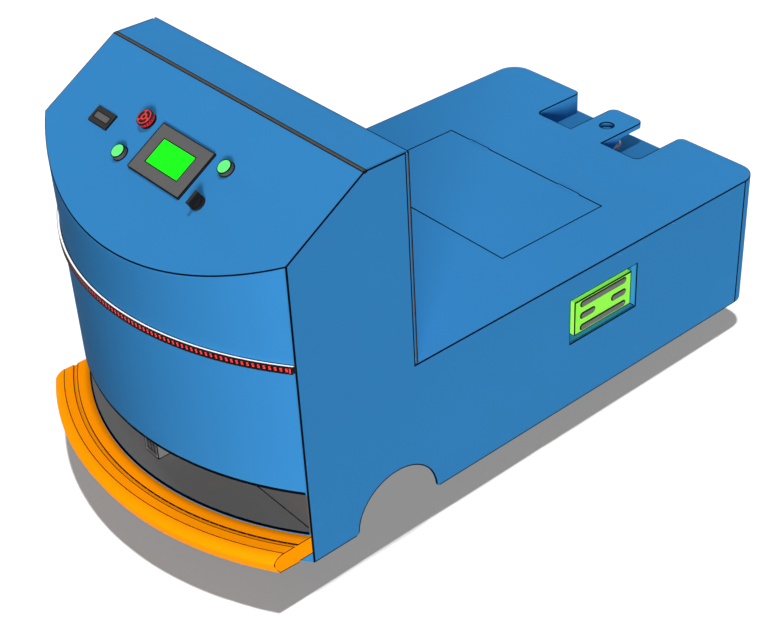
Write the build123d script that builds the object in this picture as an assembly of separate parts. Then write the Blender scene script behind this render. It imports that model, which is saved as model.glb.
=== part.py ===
from build123d import *
import math
import os

os.makedirs("parts", exist_ok=True)

# Body shape. X points forward, Y to the vehicle's left, Z up from the floor.
body_width = 600
body_length = 990
ground_clearance = 55
deck_height = 305
shoulder_height = 570
roof_height = 655
slope_run = 136
roof_run = 76
front_radius = 511
rear_corner_radius = 38.5
sheet = 3

# Foam bumper round the front
bumper_depth = 58
bumper_thickness = 34
bumper_drop = 4
bumper_rail_depth = 21
bumper_groove_width = 5.5
bumper_groove_depth = 2
bumper_nose_start = 42
bumper_chin_reach = 50
bumper_tip_drop = 13

# Scanner bay in the front
bay_floor_height = 111
bay_height = 73
bay_back_setback = 5

# Light band
led_height = 401
led_band = 12.5
led_depth = 5.5
led_recess = 1.2
led_module_pitch = 8
led_module_width = 6
led_module_height = 8
led_end_margin = 4

# Wheel arches
arch_setback = 162
arch_radius = 77
arch_foot_fillet = 8

# Service door over the back of the console
door_seal = 3
door_front_gap = 3
door_side_gap = 1
door_foot_gap = 3
door_ledge = 20
door_hinge_spacing = 400
door_hinge_length = 60
door_knuckle_radius = 5
door_pin_radius = 2.5
door_leaf = 2
door_leaf_width = 24

# Battery hatch in the deck
hatch_setback = 490.5
hatch_length = 228
hatch_width = 370
hatch_gap = 1.5
hatch_ledge = 10
hatch_hinge_spacing = 220
hatch_hinge_length = 48
hatch_knuckle_radius = 2.5
hatch_pin_radius = 1.5

# Hitch at the rear
notch_depth = 115
notch_width = 246
notch_fillet = 12
shelf_drop = 40
tongue_width = 75
tongue_thickness = 10
tongue_setback = 2
tongue_corner = 14
tongue_gusset = 6
tongue_gusset_length = 55
hitch_hole_radius = 12.5
hitch_hole_setback = 60
pin_radius = 12
pin_rest_drop = 15
pin_travel = 50
pin_seat = 35
pin_chamfer = 3
guide_wall = 6
guide_flange_radius = 27
guide_flange = 5
guide_length = 80
actuator_radius = 22
actuator_length = 90
actuator_rod_radius = 5
actuator_rod_seat = 30

# Running fits
bore_clearance = 0.05
sliding_clearance = 0.3

# Frame of square tube
frame_height = 134
rail_size = 40
post_size = 20
rail_wall = 3
rear_cross_setback = 85
battery_rear_cross = 227
battery_front_cross = 502
bogie_cross_offset = 135

# Battery
battery_length = 206
battery_width = 330
battery_headroom = 16
battery_tray = 3
battery_tray_length = 275
battery_handle_width = 90
battery_handle_rise = 12
battery_handle_rod = 4

# Drive bogie under the console
drive_wheel_radius = 60
drive_wheel_width = 35
drive_wheel_inner = 85
drive_tyre_thickness = 9
bogie_plate = 8
bogie_half_length = 62
bogie_side_plate = 6
bogie_side_half = 40
slew_plate = 8
slew_ring_height = 12
slew_ring_radius = 70
slew_bore_radius = 45
slew_plate_half_width = 125
cable_bore_radius = 24
motor_radius = 29
motor_length = 69
shaft_radius = 8

# Rear casters
caster_setback = 102.5
caster_inset = 100
caster_trail = 38
caster_wheel_radius = 50
caster_wheel_width = 30
caster_plate = 5
caster_plate_length = 110
caster_head_radius = 26
caster_head_height = 14
caster_crown = 8
caster_kingpin_radius = 6
caster_leg = 3
caster_axle_radius = 6

# Charging contact on the left side
window_setback = 605
window_height = 219.7
window_length = 154
window_opening = 84
pocket_depth = 40
pocket_wall = 1.5
charge_block_length = 130
charge_block_height = 62
contact_width = 8
contact_long = 95
contact_short = 23
contact_spacing = 22.4
contact_short_offset = 36
contact_depth = 4

# Controls on the sloped panel, placed by distance up the slope and by Y
hmi_slope = 37.6
hmi_y = -2
hmi_width = 125
hmi_height = 79.5
hmi_bezel = 4
hmi_screen_width = 77.3
hmi_screen_height = 41
hmi_screen_depth = 1.5
hmi_body_margin = 5
hmi_body_depth = 34
button_radius = 11.5
button_wall = 1.2
button_bezel_height = 7.5
button_top = 9
button_travel = 3
button_body_radius = 10.8
button_body_depth = 34
button_left_slope = 68.2
button_left_y = 96.6
button_right_slope = 7.4
button_right_y = -98
estop_slope = 69
estop_y = -97.5
estop_head_radius = 14
estop_head_bottom = 5
estop_head_height = 7
estop_collar_radius = 12
estop_collar_height = 1.5
estop_stem_radius = 6
estop_travel = 3
selector_slope = 7.3
selector_y = 96
selector_base_radius = 11.5
selector_base_height = 4
selector_knob_radius = 9
selector_knob_height = 4
selector_fin_height = 8
selector_fin_width = 6
gauge_slope = 37.2
gauge_y = -181.5
gauge_width = 47
gauge_height = 25.5
gauge_bezel = 3
gauge_window_width = 35
gauge_window_height = 10
gauge_window_depth = 1
gauge_body_depth = 22
gauge_body_margin = 2.5
control_hole_gap = 0.2

# Laser scanner in the bay
scanner_y = -9
scanner_width = 34
scanner_depth = 46
scanner_height = 62
scanner_front_reach = 68
scanner_wall = 3
scanner_window = 2
scanner_rotor_radius = 10
scanner_spigot_radius = 3

# Electronics behind the service door
mount_plate_reach = 117
mount_plate_bottom = 190
mount_plate_top = 600
module_depth = 40

half_width = body_width / 2
inner_half = half_width - sheet
arc_run = math.sqrt(front_radius**2 - half_width**2)
bumper_reach = front_radius + bumper_depth - arc_run
overall_length = body_length + bumper_reach
front_x = body_length - overall_length / 2
rear_x = front_x - body_length
arc_x = front_x - arc_run
slope = math.atan2(roof_height - shoulder_height, slope_run)
roof_front_x = front_x - slope_run
console_rear_x = roof_front_x - roof_run
side_rear_x = console_rear_x + sheet + door_seal
rear_seam_x = rear_x + rear_corner_radius
nose_x = arc_x + front_radius + bumper_depth
skin_radius = front_radius - sheet


def block(x0, x1, y0, y1, z0, z1):
    """A box between two opposite corners."""
    middle = Pos((x0 + x1) / 2, (y0 + y1) / 2, (z0 + z1) / 2)
    return middle * Box(x1 - x0, y1 - y0, z1 - z0)


def upright(x, y, z0, z1, radius):
    """A round bar standing along Z."""
    return Pos(x, y, (z0 + z1) / 2) * Cylinder(radius, z1 - z0)


def crosswise(x, z, y0, y1, radius):
    """A round bar lying along Y."""
    return Pos(x, (y0 + y1) / 2, z) * Rot(90, 0, 0) * Cylinder(radius, y1 - y0)


def outline(points):
    """A flat face inside a closed run of straight lines."""
    return make_face(Polyline(*points, close=True))


def lengthwise(sketch, y0, y1):
    """A plate cut to a side view, given as X and Z."""
    return extrude(Plane.XZ.offset(-y1) * sketch, amount=y1 - y0)


def flat(sketch, z0, z1):
    """A plate cut to a plan view, given as X and Y."""
    return extrude(Pos(0, 0, z0) * sketch, amount=z1 - z0)


def arc_band(r0, r1, z0, z1, reach):
    """A curved wall round the front of the body."""
    ring = upright(arc_x, 0, z0, z1, r1) - upright(arc_x, 0, z0, z1, r0)
    return ring & block(arc_x, arc_x + r1, -reach, reach, z0, z1)


def slope_line(x, drop=0):
    """Height of the sloped panel at X, less a depth square to it."""
    return shoulder_height - (x - front_x) * math.tan(slope) - drop / math.cos(slope)


def save(name, *solids):
    """Write one sub-part."""
    made = [solid for shape in solids for solid in shape.solids()]
    shape = made[0] if len(made) == 1 else Compound(children=made)
    export_step(shape, f"parts/{name}.step")


# Sheet metal sides, with the wheel arch and on the left the charging window
arch_x = front_x - arch_setback
window_x = front_x - window_setback
front_limit = front_x + sheet
side_view = outline([
    (front_limit, ground_clearance),
    (front_limit, slope_line(front_limit)),
    (roof_front_x, roof_height),
    (side_rear_x, roof_height),
    (side_rear_x, deck_height),
    (rear_seam_x, deck_height),
    (rear_seam_x, ground_clearance),
])
side_view -= Pos(arch_x, ground_clearance) * Circle(arch_radius)
arch_feet = [
    corner for corner in side_view.vertices()
    if abs(corner.Y - ground_clearance) < 0.01 and abs(corner.X - arch_x) < arch_radius + 1
]
side_view = fillet(arch_feet, arch_foot_fillet)
window_view = Pos(window_x, window_height) * Rectangle(window_length, window_opening)
front_drum = upright(arc_x, 0, 0, roof_height, front_radius)
body_limit = front_drum + block(rear_x, arc_x, -half_width, half_width, 0, roof_height)
side_panel_left = lengthwise(side_view - window_view, inner_half, half_width) & body_limit
side_panel_right = lengthwise(side_view, -half_width, -inner_half) & body_limit
save("side_panel_left", side_panel_left)
save("side_panel_right", side_panel_right)

# Deck with the hatch opening, the hitch notch and rounded rear corners
notch_x = rear_x + notch_depth
notch_half = notch_width / 2
deck_underside = deck_height - sheet
rear_half_deck = outline([
    (rear_x, -half_width),
    (rear_seam_x, -half_width),
    (rear_seam_x, -inner_half),
    (side_rear_x, -inner_half),
    (side_rear_x, inner_half),
    (rear_seam_x, inner_half),
    (rear_seam_x, half_width),
    (rear_x, half_width),
])
rear_corners = [v for v in rear_half_deck.vertices() if abs(v.X - rear_x) < 0.01]
deck_plan = fillet(rear_corners, rear_corner_radius - 0.01)
notch_plan = Pos(rear_x + notch_depth / 2, 0) * Rectangle(notch_depth, notch_width)
deck_plan -= notch_plan
notch_mouth = [
    v for v in deck_plan.vertices() if abs(v.X - rear_x) < 0.01 and abs(abs(v.Y) - notch_half) < 0.01
]
deck_plan = fillet(notch_mouth, notch_fillet)
hatch_x = front_x - hatch_setback - hatch_length / 2
hatch_rear_x = hatch_x - hatch_length / 2
hatch_opening = Pos(hatch_x, 0) * Rectangle(hatch_length, hatch_width)
deck_plate = flat(deck_plan - hatch_opening, deck_underside, deck_height)

# The hatch lies on a ledge welded round three sides and turns on pins in the rear gap
ledge_plan = Pos(hatch_x, 0) * Rectangle(hatch_length + 2 * hatch_ledge, hatch_width + 2 * hatch_ledge)
ledge_plan -= Pos(hatch_x - hatch_ledge, 0) * Rectangle(
    hatch_length + 2 * hatch_ledge, hatch_width - 2 * hatch_ledge)
ledge_plan -= Pos(hatch_rear_x - hatch_ledge, 0) * Rectangle(6 * hatch_ledge, 2 * hatch_width)
deck_plate += flat(ledge_plan, deck_underside - sheet, deck_underside)
hatch_axis_x = hatch_rear_x + hatch_gap / 2
hatch_axis_z = deck_height - 0.5
lid_rear_x = hatch_rear_x + hatch_gap
lid_plan = Pos(hatch_x, 0) * Rectangle(hatch_length - 2 * hatch_gap, hatch_width - 2 * hatch_gap)
hatch_lid = flat(lid_plan, deck_underside, deck_height)
knuckle_length = hatch_hinge_length / 3
relief_radius = hatch_knuckle_radius + sliding_clearance
for hinge_y in (-hatch_hinge_spacing / 2, hatch_hinge_spacing / 2):
    hinge_start = hinge_y - hatch_hinge_length / 2
    hinge_end = hinge_y + hatch_hinge_length / 2
    lid_start = hinge_start + knuckle_length
    lid_end = hinge_end - knuckle_length
    relief = crosswise(hatch_axis_x, hatch_axis_z, hinge_start, hinge_end, relief_radius)
    lid_relief = crosswise(hatch_axis_x, hatch_axis_z, lid_start, lid_end, relief_radius)
    hatch_lid -= relief - lid_relief
    deck_plate -= lid_relief
    for start, end in ((hinge_start, lid_start), (lid_end, hinge_end)):
        deck_plate += crosswise(hatch_axis_x, hatch_axis_z, start, end, hatch_knuckle_radius)
    deck_plate += crosswise(hatch_axis_x, hatch_axis_z, hinge_start, hinge_end, hatch_pin_radius)
    hatch_lid += crosswise(
        hatch_axis_x, hatch_axis_z,
        lid_start + sliding_clearance, lid_end - sliding_clearance, hatch_knuckle_radius)
    hatch_lid -= crosswise(
        hatch_axis_x, hatch_axis_z, hinge_start, hinge_end, hatch_pin_radius + bore_clearance)
save("deck_plate", deck_plate)
save("hatch_lid", hatch_lid)

# Rear skin: round corners, the walls of the notch and the shelf in it
shelf_height = deck_height - shelf_drop
rear_plan = outline([
    (rear_x, -half_width), (notch_x + 3 * rear_corner_radius, -half_width),
    (notch_x + 3 * rear_corner_radius, half_width), (rear_x, half_width)])
rear_plan = fillet([v for v in rear_plan.vertices() if abs(v.X - rear_x) < 0.01], rear_corner_radius)
lobe_plan = rear_plan - notch_plan
lobe_corners = [
    v for v in lobe_plan.vertices() if abs(v.X - rear_x) < 0.01 and abs(abs(v.Y) - notch_half) < 0.01
]
lobe_plan = fillet(lobe_corners, notch_fillet)
lower_wall = flat(rear_plan - offset(rear_plan, -sheet), ground_clearance, shelf_height)
upper_wall = flat(lobe_plan - offset(lobe_plan, -sheet), shelf_height, deck_underside)
behind_seam = block(rear_x, rear_seam_x, -half_width, half_width, ground_clearance, deck_height)
round_notch = block(
    rear_x, notch_x + sheet, -notch_half - sheet, notch_half + sheet, shelf_height, deck_height)
shelf = block(
    rear_x + sheet, notch_x + sheet, -notch_half - sheet, notch_half + sheet,
    shelf_height - sheet, shelf_height)
hitch_x = rear_x + hitch_hole_setback
guide_radius = pin_radius + guide_wall
guide_hole = guide_radius + sliding_clearance
rear_shell = (lower_wall & behind_seam) + (upper_wall & (behind_seam + round_notch)) + shelf
rear_shell -= upright(hitch_x, 0, shelf_height - 2 * sheet, deck_height, guide_hole)
save("rear_shell", rear_shell)

# Curved front: skirt below the scanner bay, cover above it, sloped panel on top
front_skirt = arc_band(skin_radius, front_radius, ground_clearance, bay_floor_height, inner_half)
save("front_skirt", front_skirt)
bay_top = bay_floor_height + bay_height
crest_x = arc_x + front_radius
under_slope = lengthwise(outline([
    (arc_x, bay_top),
    (crest_x + sheet, bay_top),
    (crest_x + sheet, slope_line(crest_x + sheet, sheet)),
    (arc_x, slope_line(arc_x, sheet)),
]), -half_width, half_width)
front_cover = arc_band(skin_radius, front_radius, bay_top, roof_height, inner_half) & under_slope
save("front_cover", front_cover)

slope_slab = lengthwise(outline([
    (crest_x + sheet, slope_line(crest_x + sheet)),
    (roof_front_x, roof_height),
    (roof_front_x, slope_line(roof_front_x, sheet)),
    (crest_x + sheet, slope_line(crest_x + sheet, sheet)),
]), -inner_half, inner_half)
control_panel = slope_slab & front_drum
control_panel += block(
    roof_front_x - door_ledge, roof_front_x + sheet, -inner_half, inner_half,
    roof_height - 2 * sheet, roof_height - sheet)

# Frame of the sloped panel: local X is Y, local Y runs up the slope, local Z stands off it
panel_plane = Plane(
    origin=(front_x, 0, shoulder_height),
    x_dir=(0, 1, 0),
    z_dir=(math.sin(slope), 0, math.cos(slope)))
panel_axis = Axis(panel_plane.origin, panel_plane.z_dir)


def panel_box(y, up, width, height, low, high):
    """A box on the panel between two heights square to it."""
    return panel_plane * Pos(y, up, (low + high) / 2) * Box(width, height, high - low)


def panel_round(y, up, radius, low, high):
    """A round bar standing square to the panel."""
    return panel_plane * Pos(y, up, (low + high) / 2) * Cylinder(radius, high - low)


hmi_body_width = hmi_width - 2 * hmi_body_margin
hmi_body_height = hmi_height - 2 * hmi_body_margin
gauge_body_width = gauge_width - 2 * gauge_body_margin
gauge_body_height = gauge_height - 2 * gauge_body_margin
cut_depth = 2 * sheet
control_panel -= panel_box(
    hmi_y, hmi_slope, hmi_body_width + 2 * control_hole_gap, hmi_body_height + 2 * control_hole_gap,
    -cut_depth, cut_depth)
control_panel -= panel_box(
    gauge_y, gauge_slope, gauge_body_width + 2 * control_hole_gap,
    gauge_body_height + 2 * control_hole_gap, -cut_depth, cut_depth)
round_controls = (
    (button_left_y, button_left_slope),
    (button_right_y, button_right_slope),
    (estop_y, estop_slope),
    (selector_y, selector_slope),
)
for control_y, control_slope in round_controls:
    control_panel -= panel_round(
        control_y, control_slope, button_body_radius + control_hole_gap, -cut_depth, cut_depth)
save("control_panel", control_panel)

# Scanner bay: floor, upright back and ceiling behind the curved front
bay_back_x = front_x - bay_back_setback
bay_drum = upright(arc_x, 0, 0, roof_height, skin_radius)
bay_floor = bay_drum & block(
    bay_back_x, crest_x, -inner_half, inner_half, bay_floor_height - sheet, bay_floor_height)
bay_ceiling = bay_drum & block(
    bay_back_x, crest_x, -inner_half, inner_half, bay_top, bay_top + sheet)
bay_back = block(
    bay_back_x - sheet, bay_back_x, -inner_half, inner_half, bay_floor_height - sheet, bay_top + sheet)
save("bay_floor", bay_floor)
save("bay_ceiling", bay_ceiling)
save("bay_back", bay_back)

# Frame: two side rails, crossmembers between them and posts up to the deck and roof
rail_top = frame_height + rail_size
rail_inner = inner_half - rail_size
frame_front_x = bay_back_x - sheet


def square_tube_x(x0, x1, y0, y1, z0, z1):
    """A square tube along X."""
    bore = block(x0, x1, y0 + rail_wall, y1 - rail_wall, z0 + rail_wall, z1 - rail_wall)
    return block(x0, x1, y0, y1, z0, z1) - bore


def square_tube_y(x0, x1, y0, y1, z0, z1):
    """A square tube along Y."""
    bore = block(x0 + rail_wall, x1 - rail_wall, y0, y1, z0 + rail_wall, z1 - rail_wall)
    return block(x0, x1, y0, y1, z0, z1) - bore


def square_tube_z(x0, x1, y0, y1, z0, z1):
    """A square tube along Z."""
    wall = rail_wall / 2
    bore = block(x0 + wall, x1 - wall, y0 + wall, y1 - wall, z0, z1)
    return block(x0, x1, y0, y1, z0, z1) - bore


frame_rails = [
    square_tube_x(rear_seam_x, frame_front_x, rail_inner, inner_half, frame_height, rail_top),
    square_tube_x(rear_seam_x, frame_front_x, -inner_half, -rail_inner, frame_height, rail_top),
]
save("frame_rails", *frame_rails)
cross_x = [
    rear_x + rear_cross_setback,
    rear_x + battery_rear_cross,
    rear_x + battery_front_cross,
    arch_x - bogie_cross_offset - rail_size,
    frame_front_x - rail_size,
]
frame_crossmembers = [
    square_tube_y(x, x + rail_size, -rail_inner, rail_inner, frame_height, rail_top) for x in cross_x
]
save("frame_crossmembers", *frame_crossmembers)
post_x = [
    (rear_seam_x, deck_underside),
    (side_rear_x, roof_height - 2 * sheet),
]
frame_posts = []
for x, top in post_x:
    for y0 in (-inner_half, inner_half - post_size):
        frame_posts.append(square_tube_z(x, x + post_size, y0, y0 + post_size, rail_top, top))
deck_beam = square_tube_y(
    side_rear_x - post_size, side_rear_x, -inner_half, inner_half,
    deck_underside - post_size, deck_underside)
frame_posts.append(deck_beam)
save("frame_posts", *frame_posts)

# Battery on its tray between the crossmembers, under the hatch
tray_x = rear_x + battery_rear_cross + rail_size / 2
tray_end = tray_x + battery_tray_length
battery_x = hatch_x
tray_top = rail_top + battery_tray
battery_half = battery_width / 2
battery_top = deck_underside - battery_headroom - battery_handle_rise
tray_lip_top = tray_top + (battery_top - tray_top) / 3
battery_tray_plate = block(
    tray_x, tray_end, -battery_half - battery_tray, battery_half + battery_tray, rail_top, tray_top)
for y0 in (-battery_half - battery_tray, battery_half):
    battery_tray_plate += block(
        tray_x, tray_end, y0, y0 + battery_tray, tray_top, tray_lip_top)
save("battery_tray", battery_tray_plate)
battery_pack = block(
    battery_x - battery_length / 2, battery_x + battery_length / 2,
    -battery_half, battery_half, tray_top, battery_top)
battery_pack = fillet(battery_pack.edges().filter_by(Axis.Z), battery_tray)
for side in (-1, 1):
    lug_y = side * battery_handle_width
    battery_pack += upright(
        battery_x, lug_y, battery_top, battery_top + battery_handle_rise, battery_handle_rod)
battery_pack += crosswise(
    battery_x, battery_top + battery_handle_rise - battery_handle_rod,
    -battery_handle_width, battery_handle_width, battery_handle_rod)
save("battery_pack", battery_pack)

# Hitch: tongue level with the deck, lifting pin, its guide and actuator
tongue_half = tongue_width / 2
tongue_end = rear_x + tongue_setback
tongue_plan = outline([
    (tongue_end, -tongue_half), (notch_x, -tongue_half), (notch_x, tongue_half), (tongue_end, tongue_half)])
tongue_plan = fillet([v for v in tongue_plan.vertices() if abs(v.X - tongue_end) < 0.01], tongue_corner)
tongue_plan -= Pos(hitch_x, 0) * Circle(hitch_hole_radius)
tongue_underside = deck_height - tongue_thickness
hitch_tongue = flat(tongue_plan, tongue_underside, deck_height)
gusset_view = outline([
    (notch_x, shelf_height), (notch_x, tongue_underside),
    (notch_x - tongue_gusset_length, tongue_underside), (notch_x - tongue_gusset, shelf_height)])
for y0 in (-tongue_half, tongue_half - tongue_gusset):
    hitch_tongue += lengthwise(gusset_view, y0, y0 + tongue_gusset)
save("hitch_tongue", hitch_tongue)

pin_top = tongue_underside - pin_rest_drop
pin_bottom = pin_top - pin_travel - pin_seat
guide_top = shelf_height + guide_flange
guide_bottom = guide_top - guide_length
pin_body = upright(hitch_x, 0, pin_bottom, pin_top, pin_radius)
pin_body = chamfer(pin_body.edges().sort_by(Axis.Z)[-1], pin_chamfer)
tow_pin = pin_body + upright(
    hitch_x, 0, pin_bottom - pin_travel - actuator_rod_seat, pin_bottom, actuator_rod_radius)
save("tow_pin", tow_pin)
pin_guide = upright(hitch_x, 0, guide_bottom, guide_top, guide_radius)
pin_guide += upright(hitch_x, 0, shelf_height, guide_top, guide_flange_radius)
pin_guide -= upright(hitch_x, 0, guide_bottom, guide_top, pin_radius + bore_clearance)
save("pin_guide", pin_guide)
actuator_bottom = guide_bottom - actuator_length
pin_actuator = upright(hitch_x, 0, actuator_bottom, guide_bottom, actuator_radius)
pin_actuator -= upright(
    hitch_x, 0, actuator_bottom + sheet, guide_bottom, actuator_rod_radius + bore_clearance)
save("pin_actuator", pin_actuator)

# Service door: back plate and roof in one folded sheet, hinged at its foot
door_foot = deck_height + door_foot_gap
door_axis_x = console_rear_x - door_knuckle_radius
door_axis_z = deck_height + door_knuckle_radius
door_half = inner_half - door_side_gap
door_panel = block(
    console_rear_x, console_rear_x + sheet, -half_width, half_width, door_foot, roof_height)
door_panel += block(
    console_rear_x, roof_front_x - door_front_gap, -door_half, door_half,
    roof_height - sheet, roof_height)
door_hinge = []
door_knuckle = door_hinge_length / 3
for hinge_y in (-door_hinge_spacing / 2, door_hinge_spacing / 2):
    start = hinge_y - door_hinge_length / 2
    end = hinge_y + door_hinge_length / 2
    middle_start = start + door_knuckle + sliding_clearance
    middle_end = end - door_knuckle - sliding_clearance
    moving = crosswise(door_axis_x, door_axis_z, middle_start, middle_end, door_knuckle_radius)
    moving += block(
        console_rear_x - door_leaf, console_rear_x, middle_start, middle_end,
        door_axis_z, door_axis_z + door_leaf_width)
    door_panel += moving
    door_panel -= crosswise(door_axis_x, door_axis_z, start, end, door_pin_radius + bore_clearance)
    fixed = block(
        door_axis_x - door_leaf_width, door_axis_x, start, end, deck_height, deck_height + door_leaf)
    fixed -= crosswise(
        door_axis_x, door_axis_z, middle_start - sliding_clearance, middle_end + sliding_clearance,
        door_knuckle_radius + sliding_clearance)
    for y0, y1 in ((start, start + door_knuckle), (end - door_knuckle, end)):
        fixed += crosswise(door_axis_x, door_axis_z, y0, y1, door_knuckle_radius)
    fixed += crosswise(door_axis_x, door_axis_z, start, end, door_pin_radius)
    door_hinge.append(fixed)
save("door_panel", door_panel)
save("door_hinge", *door_hinge)
door_gasket = [
    block(
        console_rear_x + sheet, side_rear_x, y0, y0 + post_size,
        door_axis_z + door_knuckle_radius, roof_height - 2 * sheet)
    for y0 in (-inner_half, inner_half - post_size)
]
save("door_gasket", *door_gasket)

# Foam bumper on its curved rail
bumper_top = bay_floor_height - bumper_drop
bumper_bottom = bumper_top - bumper_thickness
bumper_tip = front_radius + bumper_depth
rail_reach = front_radius + bumper_rail_depth
bumper_limit = block(arc_x, nose_x, -half_width, half_width, 0, roof_height)
rail_section = outline([
    (front_radius, bumper_bottom + bumper_groove_depth), (rail_reach, bumper_bottom + bumper_groove_depth),
    (rail_reach, bumper_top), (front_radius, bumper_top)])


def swept_round_front(section):
    """A section in radius and height turned about the centre of the curved front."""
    upright_section = Rot(90, 0, 0) * section
    ring = revolve(upright_section, axis=Axis.Z, revolution_arc=360)
    return Pos(arc_x, 0, 0) * ring & bumper_limit


save("bumper_rail", swept_round_front(rail_section))
groove_end = rail_reach + bumper_groove_width
nose_top = (front_radius + bumper_nose_start, bumper_top)
nose_tip = (bumper_tip, bumper_top - bumper_tip_drop)
chin = (front_radius + bumper_chin_reach, bumper_bottom + bumper_groove_depth)
foam_edges = [
    Polyline(
        chin, (rail_reach, bumper_bottom), (rail_reach, bumper_top - bumper_groove_depth),
        (groove_end, bumper_top - bumper_groove_depth), (groove_end, bumper_top), nose_top),
    TangentArc(nose_top, nose_tip, tangent=(1, 0)),
    Line(nose_tip, chin),
]
foam_section = make_face(foam_edges)
foam_section = fillet(
    foam_section.vertices().sort_by_distance((nose_tip[0], nose_tip[1], 0))[0], bumper_groove_width)
save("bumper_foam", swept_round_front(foam_section))

# Light band: a channel round the front with a row of lamps in it
led_outer = front_radius + led_depth
led_top = led_height + led_band
lamp_radius = led_outer - led_recess
led_channel = arc_band(front_radius, led_outer, led_height, led_top, half_width)
lamp_drop = (led_band - led_module_height) / 2
led_channel -= arc_band(
    lamp_radius, led_outer, led_height + lamp_drop, led_top - lamp_drop, half_width - led_end_margin)
save("led_channel", led_channel)
lamp_half_angle = math.asin((half_width - led_end_margin - led_module_width) / led_outer)
lamp_pairs = int(lamp_half_angle * led_outer / led_module_pitch)
lamp_step = math.degrees(led_module_pitch / led_outer)
led_modules = []
for index in range(-lamp_pairs, lamp_pairs + 1):
    lamp = block(
        lamp_radius, lamp_radius + led_recess / 2, -led_module_width / 2, led_module_width / 2,
        led_height + lamp_drop, led_top - lamp_drop)
    led_modules.append(Pos(arc_x, 0, 0) * Rot(0, 0, index * lamp_step) * lamp)
save("led_modules", *led_modules)

# Charging contact: pocket behind the window, insulating block level with the side, four bars
window_x0 = window_x - window_length / 2
window_x1 = window_x + window_length / 2
window_z0 = window_height - window_opening / 2
window_z1 = window_height + window_opening / 2
pocket_back = inner_half - pocket_depth
charge_pocket = block(
    window_x0 - pocket_wall, window_x1 + pocket_wall, pocket_back - pocket_wall, inner_half,
    window_z0 - pocket_wall, window_z1 + pocket_wall)
charge_pocket -= block(window_x0, window_x1, pocket_back, inner_half, window_z0, window_z1)
save("charge_pocket", charge_pocket)
block_face = half_width - pocket_wall
charge_block = block(
    window_x - charge_block_length / 2, window_x + charge_block_length / 2, pocket_back, block_face,
    window_height - charge_block_height / 2, window_height + charge_block_height / 2)
bar_slots = [
    (window_x, window_height + contact_spacing, contact_long),
    (window_x, window_height - contact_spacing, contact_long),
    (window_x - contact_short_offset, window_height, contact_short),
    (window_x + contact_short_offset, window_height, contact_short),
]
charge_contacts = []
for bar_x, bar_z, centres in bar_slots:
    bar_view = Pos(bar_x, bar_z) * SlotCenterToCenter(centres, contact_width)
    charge_block -= lengthwise(bar_view, block_face - contact_depth, block_face)
    charge_contacts.append(lengthwise(bar_view, block_face - contact_depth, half_width))
save("charge_block", charge_block)
save("charge_contacts", *charge_contacts)

# Operator panel controls
hmi_housing = panel_box(hmi_y, hmi_slope, hmi_width, hmi_height, 0, hmi_bezel)
hmi_housing = chamfer(hmi_housing.faces().sort_by(panel_axis)[-1].edges(), hmi_screen_depth / 2)
hmi_housing += panel_box(hmi_y, hmi_slope, hmi_body_width, hmi_body_height, -hmi_body_depth, 0)
hmi_housing -= panel_box(
    hmi_y, hmi_slope, hmi_screen_width, hmi_screen_height, hmi_bezel - hmi_screen_depth, hmi_bezel)
save("hmi_housing", hmi_housing)
hmi_screen = panel_box(
    hmi_y, hmi_slope, hmi_screen_width, hmi_screen_height,
    hmi_bezel - hmi_screen_depth, hmi_bezel - hmi_screen_depth / 2)
save("hmi_screen", hmi_screen)

button_bore = button_radius - button_wall
cap_radius = button_bore - sliding_clearance
cap_bottom = button_top - button_bezel_height
stem_radius = button_body_radius / 2
buttons = (
    ("left", button_left_y, button_left_slope),
    ("right", button_right_y, button_right_slope),
)
for side, y, up in buttons:
    bezel = panel_round(y, up, button_radius, 0, button_bezel_height)
    bezel += panel_round(y, up, button_body_radius, -button_body_depth, 0)
    bezel -= panel_round(y, up, button_bore, cap_bottom - button_travel - sliding_clearance,
                         button_bezel_height)
    stem_bottom = -button_body_depth / 2
    bezel -= panel_round(y, up, stem_radius + bore_clearance, stem_bottom - button_travel,
                         button_bezel_height)
    save(f"button_bezel_{side}", bezel)
    cap = panel_round(y, up, cap_radius, cap_bottom, button_top)
    cap = chamfer(cap.edges().sort_by(panel_axis)[-1], button_wall / 2)
    cap += panel_round(y, up, stem_radius, stem_bottom, cap_bottom)
    save(f"button_cap_{side}", cap)

estop_base = panel_round(estop_y, estop_slope, estop_collar_radius, 0, estop_collar_height)
estop_base += panel_round(estop_y, estop_slope, button_body_radius, -button_body_depth, 0)
estop_bottom = -button_body_depth / 2
estop_base -= panel_round(
    estop_y, estop_slope, estop_stem_radius + bore_clearance, estop_bottom - estop_travel,
    estop_collar_height)
save("estop_base", estop_base)
head_top = estop_head_bottom + estop_head_height
neck_radius = estop_stem_radius / 2
estop_stem = panel_round(
    estop_y, estop_slope, estop_stem_radius, estop_bottom, estop_head_bottom - sliding_clearance)
estop_stem += panel_round(
    estop_y, estop_slope, neck_radius, 0, head_top - estop_head_height / 2)
save("estop_stem", estop_stem)
estop_head = panel_round(estop_y, estop_slope, estop_head_radius, estop_head_bottom, head_top)
estop_head = chamfer(estop_head.edges().sort_by(panel_axis)[-1], estop_head_height / 3)
estop_head -= panel_round(
    estop_y, estop_slope, neck_radius + bore_clearance, estop_head_bottom,
    head_top - estop_head_height / 2 + bore_clearance)
save("estop_head", estop_head)

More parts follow.
